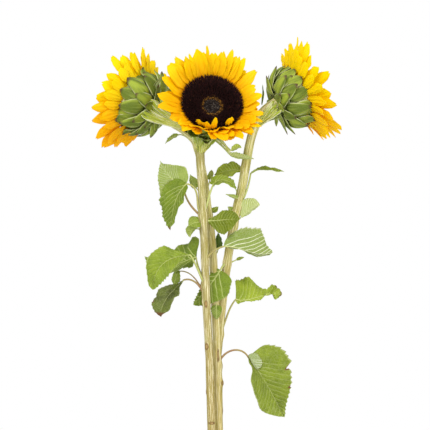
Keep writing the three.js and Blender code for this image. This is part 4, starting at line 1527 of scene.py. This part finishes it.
bractLook = {
    "baseSides": 64,
    "rows": 18,
    "cols": 11,
    "thickness": 0.5,
    "widest": 0.36,
    # start along the profile, length, half width, stand-off, count, spread of the tip
    "whorls": [
        [4.0, 20, 7.4, 4.4, 7, 6.5],
        [10.0, 24, 8.6, 3.4, 9, 6.0],
        [18.0, 26, 8.8, 2.4, 11, 5.4],
        [27.0, 27, 8.2, 1.2, 13, 5.0],
    ],
    "green": "#94a434",
    "shade": "#5d6d1c",
    # painted shade at the foot of each bract, where the bracts overlap
    "deep": "#34420f",
    "vein": "#aab55a",
    "margin": "#d2d69c",
    "tip": "#54392e",
    "down": ("#cfd2a6", 1000.0, 0.15),
}
# back of a head between its neck and its rim: rows of radius and height
headBack = [
    (11.8, -29.5), (23.0, -26.5), (31.0, -21.2), (35.6, -11.8), (36.0, 0.0), (46.0, 13.0), (56.0, 26.0),
]
# how the receptacle closes at its neck and at the disc
headClosing = [(0.2, -31.6)], [(34.5, 1.0), (30, 0.6), (15, 0.2), (0.2, 0.1)]


def backProfile(name):
    neck = stems[name]["neckRadii"][1]
    corners = [(neck - 2, -31.5), (neck + 1, -31)] + headBack
    full = routeAt([(r, z, 0) for r, z in corners], np.linspace(0, 1, 300))[:, :2]
    return full, walkedAlong(full)


def makeReceptacle(name):
    full = backProfile(name)[0]
    rows = np.vstack([headClosing[0], full[full[:, 1] <= 0.5][::6], headClosing[1]])
    rows[:, 0] -= 0.9 * smooth(2, 12, rows[:, 0])
    sides = bractLook["baseSides"]
    points = turnedRings(rows, sides).reshape(-1, 3)
    around = ringAngles(sides)
    grain = np.stack([np.cos(around), np.sin(around), 0.3 + 0 * around], -1)
    marks = {"grain": np.tile(grain, (len(rows), 1)), "side": np.zeros((len(points), 1))}
    return points, ringFaces(len(rows), sides), marks


def makeBract(profile, clock, start, length, half, lift, spread, seed):
    look = bractLook
    full, ways = profile
    own = [chance(seed, 60 + k) - 0.5 for k in range(5)]
    v = np.linspace(0, 1, look["rows"])
    profilePart = readAt(np.clip(start + length * v, 0, ways[-1]), ways, full)
    slope = unit(np.gradient(profilePart, axis=0))
    r, z = profilePart[:, :1], profilePart[:, 1:]
    v = v[:, None]
    off = 0.4 + lift * smooth(0, 0.35, v) + spread * (0.7 + 1.6 * own[1]) * v**3 + 1.6 * own[2] * v**2
    u = np.linspace(-1, 1, look["cols"])[None, :]
    past = np.clip((v - look["widest"]) / (1 - look["widest"]), 0, 1)
    outline = (0.45 + 0.55 * smooth(-0.05, look["widest"], v)) * (1 - past**2.2) ** 0.8
    wide = half * (1 + 0.3 * own[3]) * np.maximum(outline, 0.05)
    x = u * wide
    cup = -0.10 * wide * u**2 + 0.5 * ripple(seed, 6 * v, 1.5 * u) * np.abs(u)
    edge = 0.7 * np.abs(u) ** 3 * ripple(seed + 2, 8 * v)
    keel = 0.45 * bell(x, 0.8) * (1 - v)
    height = off + cup + edge + keel
    reach = r + slope[:, 1:] * height
    angle = np.radians(clock + 16 * own[4] * v) - x / np.maximum(reach, 14.0)
    grid = np.stack([reach * np.cos(angle), reach * np.sin(angle), z - slope[:, :1] * height], -1)
    place = np.stack([u + 0 * v, 3.1 * chance(seed, 78) + 0 * x, v + 0 * u], -1)
    return shell(grid, look["thickness"], {"grain": place}, outward=True)


def makeBracts(name):
    profile = backProfile(name)
    seed = 7 * heads[name]["seed"]
    bracts = [makeReceptacle(name)]
    for k, (start, length, half, lift, count, spread) in enumerate(bractLook["whorls"]):
        for i in range(count):
            clock = 360 / count * (i + 0.5 * (k % 2) + 0.35 * (chance(i, seed + k) - 0.5))
            grown = length * (0.88 + 0.3 * chance(i, seed + 9 + k))
            bracts.append(makeBract(profile, clock, start, grown, half, lift, spread, seed + 31 * k + i))
    return toWorld(name, joined(bracts))


def bractFinish():
    look = bractLook
    w = newMaterial("bract green")
    x, _, y = w.parts(w.mark("grain", "Vector"))
    streak, cloud = streaksOf(w, 4.0, 0.8)
    color = w.lay(look["green"], look["shade"], cloud, 0.35, 0.65)
    lines = w.math("SINE", w.times(x, 15.0))
    veins = w.times(w.span(lines, 0.55, 1.0), w.span(y, 0.85, 0.1, 0.0, 0.35))
    color = w.blend(veins, color, look["vein"])
    rim = w.times(w.span(w.math("ABSOLUTE", x), 0.80, 0.97), w.span(y, 0.9, 0.6, 0.2, 0.85))
    color = w.blend(rim, color, look["margin"])
    # painted shade: each bract darkens towards its foot, where the whorls overlap
    color = w.lay(color, look["deep"], y, 0.26, 0.02, 0.6)
    color = w.lay(color, look["tip"], y, 0.84, 0.96, 0.9)
    color = withDown(w, color, *look["down"])
    normal = w.bump(w.plus(streak, veins), 0.4, 0.0005)
    return close(w, color, streak, (0.55, 0.75), normal, specular=0.2)


# disc florets, set out in a spiral by Geometry Nodes

discLook = {
    "radius": 34.2,
    "eyeDrop": 4.5,
    "bedRise": 5.0,
    "sides": 64,
    "floretLength": 5.4,
    "floretWidth": 1.75,
    "counts": {"front": 2900, "left": 1900, "right": 1900},
    "budsWithin": 0.31,
    "ringFrom": (0.28, 0.32),
    "darkFrom": (0.36, 0.41),
    "turn": 2.399963,
    # by share of the radius: height of the bed, outward lean and length of the florets
    "bed": [(0, 0.34), (0.2, 0.36), (0.37, 0.28), (0.55, 0.62), (0.78, 0.86), (0.93, 0.62), (1, 0.12)],
    "lean": [(0, 0.5), (0.3, 0.42), (0.45, 0.46), (0.75, 0.66), (1, 0.98)],
    "tall": [(0, 0.34), (0.25, 0.36), (0.30, 0.46), (0.45, 0.62), (0.75, 0.95), (1, 0.86)],
    "budRings": [(0.26, 0.0), (0.40, 0.40), (0.27, 0.78), (0.0, 1.0)],
    "openRings": [(0.16, 0.0), (0.22, 0.5), (0.36, 0.84), (0.13, 0.74), (0.15, 1.05), (0.0, 1.22)],
    "eye": "#261d19",
    "eyeSpeck": "#857b70",
    "ring": "#8d6228",
    "ringTip": "#c08a35",
    "ringShade": "#4a2f18",
    "dark": "#200f0d",
    # purple tint of the outer floret tops, with a painted highlight on them
    "tipTintAndHighlight": "#48201f",
    "fleck": "#6d4426",
    "black": "#140807",
    "ground": ("#120706", "#2c1610"),
}


def buildDiscTree():
    look = discLook
    sizes = {
        "Florets": ("Int", 2000), "Disc Radius": ("Float", 0.035), "Bed Rise": ("Float", 0.004),
        "Eye Drop": ("Float", 0.0), "Floret Length": ("Float", 5.0), "Floret Width": ("Float", 1.6),
        "Seed": ("Int", 5), "Bud": ("Object", None), "Open Floret": ("Object", None),
        "Skin": ("Material", None),
    }
    w, given, out = newGeometryTree("disc of florets", sizes)
    # a spiral that fills the disc evenly
    index = w.add("GeometryNodeInputIndex").outputs[0]
    share = w.math("SQRT", w.math("DIVIDE", w.plus(index, 0.5), given["Florets"]))
    angle = w.times(index, look["turn"])
    cosine, sine = w.math("COSINE", angle), w.math("SINE", angle)
    far = w.times(share, given["Disc Radius"])
    inward = w.minus(1.0, w.times(share, share))
    y = w.minus(w.times(far, sine), w.times(inward, given["Eye Drop"]))
    z = w.times(curveOf(w, share, look["bed"]), given["Bed Rise"])
    place = w.shifted(w.vector(w.times(far, cosine), y, z), randomWay(w, 0.0004, given["Seed"]))
    points = w.add("GeometryNodePoints", {"Count": given["Florets"], "Position": place}).outputs[0]
    for key, value in (("zone", share), ("tone", randomValue(w, 0.0, 1.0, 3))):
        values = {"Geometry": points, "Name": key, "Value": value}
        store = w.add("GeometryNodeStoreNamedAttribute", values, data_type="FLOAT", domain="POINT")
        points = store.outputs[0]
    lean = w.times(w.minus(curveOf(w, share, look["lean"]), 0.5), 2.2)
    tiltX = w.plus(w.times(cosine, lean), randomValue(w, -0.28, 0.28, 7))
    tiltY = w.plus(w.times(sine, lean), randomValue(w, -0.28, 0.28, 8))
    spin = w.vector(0.0, 0.0, randomValue(w, 0.0, 6.28, 9))
    spin = w.add("FunctionNodeEulerToRotation", {0: spin}).outputs[0]
    values = {"Rotation": upAlong(w, w.vector(tiltX, tiltY, 1.0)), "Rotate By": spin}
    turned = w.add("FunctionNodeRotateRotation", values, rotation_space="LOCAL").outputs[0]
    tall = w.times(curveOf(w, share, look["tall"]), given["Floret Length"])
    wide = w.times(given["Floret Width"], randomValue(w, 0.85, 1.15, 12))
    size = w.vector(wide, wide, w.times(tall, randomValue(w, 0.78, 1.22, 11)))
    closed = w.math("LESS_THAN", share, look["budsWithin"])
    both = w.add("GeometryNodeJoinGeometry")
    for key, chosen in (("Bud", closed), ("Open Floret", w.minus(1.0, closed))):
        w.tree.links.new(repeated(w, points, given[key], turned, size, chosen), both.inputs[0])
    endTree(w, both.outputs[0], given["Skin"], out)
    return w.tree


def discFinish():
    look = discLook
    w = newMaterial("disc floret")
    zone, tone = w.mark("zone"), w.mark("tone")
    high = w.span(w.mark("reach"), 0.55, 1.1)
    grain = w.noise(objectPlace(w), 900.0, 2.0)
    eye = w.blend(w.times(high, w.span(tone, 0.66, 0.8)), look["eye"], look["eyeSpeck"])
    ring = w.lay(w.blend(high, look["ring"], look["ringTip"]), look["ringShade"], tone, 0.45, 0.5)
    # purple tint and painted highlight on the tops of the outer florets, at random
    outer = w.blend(w.times(high, tone), look["dark"], look["tipTintAndHighlight"])
    outer = w.blend(w.times(w.span(tone, 0.975, 0.985), high), outer, look["fleck"])
    color = w.lay(eye, ring, zone, *look["ringFrom"])
    color = w.lay(color, outer, zone, *look["darkFrom"])
    color = w.lay(color, look["black"], grain, 0.3, 0.7, 0.35)
    return close(w, color, grain, (0.7, 0.95), w.bump(grain, 0.4, 0.0003), specular=0.2)


def makeDiscs(material):
    look = discLook
    bud = smallForm("floret bud", look["budRings"], 5)
    openFloret = smallForm("open floret", look["openRings"], 6, lobes=2)
    tree = buildDiscTree()
    for name in heads:
        count = look["counts"][name]
        values = {
            "Florets": count,
            "Disc Radius": look["radius"] * mm,
            "Bed Rise": look["bedRise"] * mm,
            "Eye Drop": look["eyeDrop"] * mm if name == "front" else 0.0,
            "Floret Length": look["floretLength"],
            "Floret Width": look["floretWidth"] * math.sqrt(look["counts"]["front"] / count),
            "Seed": heads[name]["seed"],
            "Bud": bud,
            "Open Floret": openFloret,
            "Skin": material,
        }
        mesh = grow(f"disc_florets_{name}", tree, values)
        turn, at = headFrame(name)
        places = np.empty(len(mesh.vertices) * 3, np.float32)
        mesh.vertices.foreach_get("co", places)
        places = places.reshape(-1, 3) @ turn.T + at * mm
        mesh.vertices.foreach_set("co", places.astype(np.float32).ravel())
        mesh.update()
        placePiece(f"disc_florets_{name}", mesh, None)
    for form in (bud, openFloret):
        bpy.data.objects.remove(form)


# ground of the disc, under the florets
def makeDiscBed(name):
    radius, sides = discLook["radius"], discLook["sides"]
    share = np.linspace(0, 1, 24)
    level = np.interp(share, *zip(*discLook["bed"]))
    ground = np.stack([np.maximum(share * radius, 0.2), level * discLook["bedRise"]], 1)[::-1]
    rows = np.vstack([(0.2, -1.0), (radius * 0.6, -1.0), (radius + 0.4, -0.8), ground])
    points = turnedRings(rows, sides)
    points = points + np.array([0, 0, 0.25]) * ripple(5, points[..., :1], points[..., 1:2])
    return toWorld(name, (points.reshape(-1, 3), ringFaces(len(rows), sides), {}))


def bedFinish():
    w = newMaterial("disc ground")
    grain = w.noise(objectPlace(w), 700.0, 3.0)
    color = w.lay(*discLook["ground"], grain, 0.35, 0.65)
    return close(w, color, grain, (0.8, 0.95), w.bump(grain, 0.7, 0.0008), specular=0.1)


# bract leaves on the necks: a line of places, the half widths at foot and end, the side it
# faces, its finish and its number of points; one without points is a plain slip
wings = {
    "fan_left_back": (
        [(-36, 6, 438), (-50, 2, 446), (-64, -3, 458), (-76, -5, 474)],
        (2.2, 9.0), (0.2, -1, 0.5), "pale fan", 3,
    ),
    "fan_left": (
        [(-33, 4, 433), (-50, 0, 441), (-67, -6, 449), (-85, -10, 459)],
        (2.6, 14.0), (0.1, -1, 0.2), "pale fan", 5,
    ),
    "fan_right": (
        [(47, 6, 434), (57, 1, 443), (67, -4, 453), (78, -8, 463)],
        (2.6, 10.0), (-0.2, -1, 0.3), "pale fan", 4,
    ),
    "cone_left_front": (
        [(-19, -5, 405), (-21, -10, 416), (-25, -19, 430)],
        (1.8, 6.5), (-0.3, -1, 0.1), "green fan", 3,
    ),
    "cone_front": (
        [(-17, -6, 403), (-15, -12, 416), (-12, -24, 431)],
        (2.0, 7.5), (0.0, -1, 0.3), "green fan", 3,
    ),
    "cone_right_front": (
        [(-14, -5, 405), (-7, -10, 416), (3, -22, 430)],
        (1.8, 6.5), (0.4, -1, 0.2), "green fan", 3,
    ),
    "slip_under_head": (
        [(19, -7, 404), (12, -12, 413), (4, -18, 421), (-1, -22, 427)],
        (0.9, 4.2), (0.2, -1, 0.5), "dark fan", 1,
    ),
    "slip_right_neck": (
        [(55, 1, 438), (64, -1, 443), (72, -2, 445), (81, -3, 447)],
        (2.6, 2.6), (0.1, -0.6, 1), "pale", 0,
    ),
    "slip_behind_petals": (
        [(56, 3, 462), (58, 4, 474), (57, 5, 487)],
        (1.6, 1.6), (-1, -1, 0), "dark", 0,
    ),
    "slip_left_head": (
        [(-78, -3, 472), (-71, -6, 485), (-62, -5, 498)],
        (2.6, 2.6), (0.3, -1, 0.1), "dull", 0,
    ),
}
fanLook = {
    "rows": 30,
    "slipCols": 15,
    "depth": 0.13,
    "pleat": 0.9,
    "thickness": 0.4,
    "down": ("#eef0d6", 1000.0, 0.12),
    "through": 0.3,
}
# slope, spacing and strength of a plain slip's veins
slipVeins = (2.2, 2.6, 0.6)
# foot, end, pale streak, dark streak and rim of a fan
fanColors = {
    "pale fan": ("#f6f496", "#bccb40", "#ffffe4", "#a9ba3e", "#f8f8dc"),
    "green fan": ("#dedd72", "#94b01c", "#f0f0be", "#6d8a10", "#e6e8a8"),
    "dark fan": ("#d2d676", "#7f9230", "#e8eabc", "#66503a", "#d6da98"),
}


def makeWing(name, number):
    line, (narrow, broad), faces, _, lobes = wings[name]
    look = fanLook
    t = np.linspace(0, 1, look["rows"])
    rib = routeAt(line, t)
    length = walkedAlong(rib)[-1]
    forward = unit(np.gradient(rib, axis=0))
    side = unit(np.cross(forward, np.array(faces, float)))
    face = np.cross(side, forward)
    v = t[:, None]
    u = np.linspace(-1, 1, 8 * lobes + 1 if lobes else look["slipCols"])[None, :]
    if lobes:
        # the blades of a fan end in points, each at its own length
        turn = (u + 1) / 2 * lobes
        bulge = np.abs(np.sin(np.pi * turn))
        own = look["depth"] * chance(np.floor(np.minimum(turn, lobes - 0.01)), number)
        way = v * (1 - own - look["depth"] * (1 - bulge**0.8))
        half = narrow + (broad - narrow) * v**1.2
        pleats = look["pleat"] * (bulge - 0.5) * smooth(0, 0.3, v)
    else:
        way = v + 0 * u
        half = broad * np.maximum(np.sin(np.pi * v**0.72) ** 0.8, 0.06)
        pleats = 0
    x = u * half + 0.4 * np.sign(u) * np.abs(u) ** 6 * ripple(number, 16 * v) * min(broad / 4, 1)
    lift = 0.22 * half * u**2 - 0.35 * bell(x, 0.7) + pleats + 0.4 * ripple(number + 2, x / 2, v * 9)
    rib, side, face = (readAt(way, t, line) for line in (rib, side, face))
    grid = offLine(rib, side, x, face, lift)
    own = np.full(x.shape, number * 2.3)
    rim = np.maximum(u**2, smooth(0.93, 1.0, v))
    if lobes:
        place = np.stack([u * broad / 10 + 0 * v, own, way], -1)
        rim = np.maximum(rim, 0.95 * np.abs(np.cos(np.pi * turn)) ** 6 * smooth(0.1, 0.5, v))
    else:
        place = np.stack([x / 10, way * length / 10, own], -1)
    marks = {"grain": place, "rim": rim, "dry": 0 * x + 0.5 * smooth(0.9, 1, v)}
    return shell(grid, look["thickness"], marks)


def fanFinish(kind):
    foot, end, light, dark, rim = fanColors[kind]
    w = newMaterial(kind)
    streak = streaksOf(w, 7.0, 0.5)[0]
    color = w.lay(foot, end, w.parts(w.mark("grain", "Vector"))[2], 0.1, 0.9)
    color = w.lay(color, dark, streak, 0.50, 0.62, 0.7)
    color = w.lay(color, light, streak, 0.47, 0.38, 0.8)
    color = w.lay(color, rim, w.mark("rim"), 0.80, 0.98, 0.8)
    color = withDown(w, color, *fanLook["down"])
    normal = w.bump(streak, 0.5, 0.0006)
    return close(w, color, streak, (0.5, 0.7), normal, through=fanLook["through"], specular=0.2)


# the clump

makePiece("root_crown", makeFoot(), footFinish(), ["foot"])
stemSkin = stemFinish()
stemPieces = []
for name in stems:
    replaced = [f"stem_{name}", f"neck_{name}"]
    stemPieces.append(makePiece(f"stalk_{name}", makeStem(name), stemSkin, replaced))
print("stems and foot made")

petalSkin, bractSkin, bedSkin, floretSkin = petalFinish(), bractFinish(), bedFinish(), discFinish()
bractPieces = []
for name in heads:
    rays = [f"head_{name}_rays_{k}" for k in range(1, 6)]
    makePiece(f"ray_petals_{name}", makePetals(name), petalSkin, rays)
    base = [f"head_{name}_base"]
    bractPieces.append(makePiece(f"bracts_{name}", makeBracts(name), bractSkin, base))
    makePiece(f"disc_ground_{name}", makeDiscBed(name), bedSkin, [f"head_{name}_disc"])
print("heads made")
makeDiscs(floretSkin)
print("disc florets made")

leafSkins = {}
for number, name in enumerate(leaves, 1):
    kind, _, _, _, slope, strength = leafLook(name)
    spacing = veinSpacing(name)
    key = (kind, slope, round(spacing, 1), strength)
    if key not in leafSkins:
        leafSkins[key] = leafFinish(kind, slope, spacing, strength)
    makePiece(name.replace("leaf_", "blade_"), makeBlade(name, number), leafSkins[key], [name])
for number, name in enumerate(wings, 40):
    kind, lobes = wings[name][3:]
    if kind not in leafSkins:
        leafSkins[kind] = fanFinish(kind) if lobes else leafFinish(kind, *slipVeins)
    makePiece(f"bract_{name}", makeWing(name, number), leafSkins[kind])
makePiece("leaf_lowest_lobe", makeLobe("leaf_lowest_right"), lobeFinish())
stalkPiece = makePiece("leaf_stalks", joined([makeStalk(name) for name in leaves]), stalkFinish())
print("leaves made")

hair = smallForm("hair", hairForm["rings"], hairForm["sides"])
hairTree, hairSkin = buildHairTree(), hairFinish()
hairOwners = {
    "stems": (stemPieces, "stem"), "stalks": ([stalkPiece], "leaf"), "bracts": (bractPieces, "bracts"),
}
for key, (owners, slotName) in hairOwners.items():
    look = hairLook[key]
    for owner in owners:
        values = {
            "Density": look["density"], "Length": look["length"], "Seed": look["seed"],
            "Hair": hair, "Skin": hairSkin,
        }
        mesh = grow(f"down_{owner.name}", hairTree, values, owner.data)
        placePiece(f"down_{owner.name}", mesh, None)
bpy.data.objects.remove(hair)
print("down made")


def makeFloor():
    radius, count = view["floorRadius"], view["floorSides"]
    turns = [2 * math.pi * j / count for j in range(count)]
    points = [(0.0, 0.0, 0.0)] + [(radius * math.cos(a), radius * math.sin(a), 0.0) for a in turns]
    faces = [(0, 1 + j, 1 + (j + 1) % count) for j in range(count)]
    mesh = bpy.data.meshes.new("floor")
    mesh.from_pydata(points, [], faces)
    floor = bpy.data.objects.new("floor", mesh)
    bpy.context.scene.collection.objects.link(floor)
    w = newMaterial("studio floor")
    grain = w.noise(objectPlace(w), 6.0, 2.0)
    color = w.lay(*view["floorColors"], grain, 0.3, 0.7)
    mesh.materials.append(close(w, color, grain, (0.9, 0.9)))


makeFloor()
shown = [o.data for o in bpy.data.objects if o.type == "MESH" and not o.hide_render]
triangles = sum(len(polygon.vertices) - 2 for mesh in shown for polygon in mesh.polygons)
print("triangles", triangles)
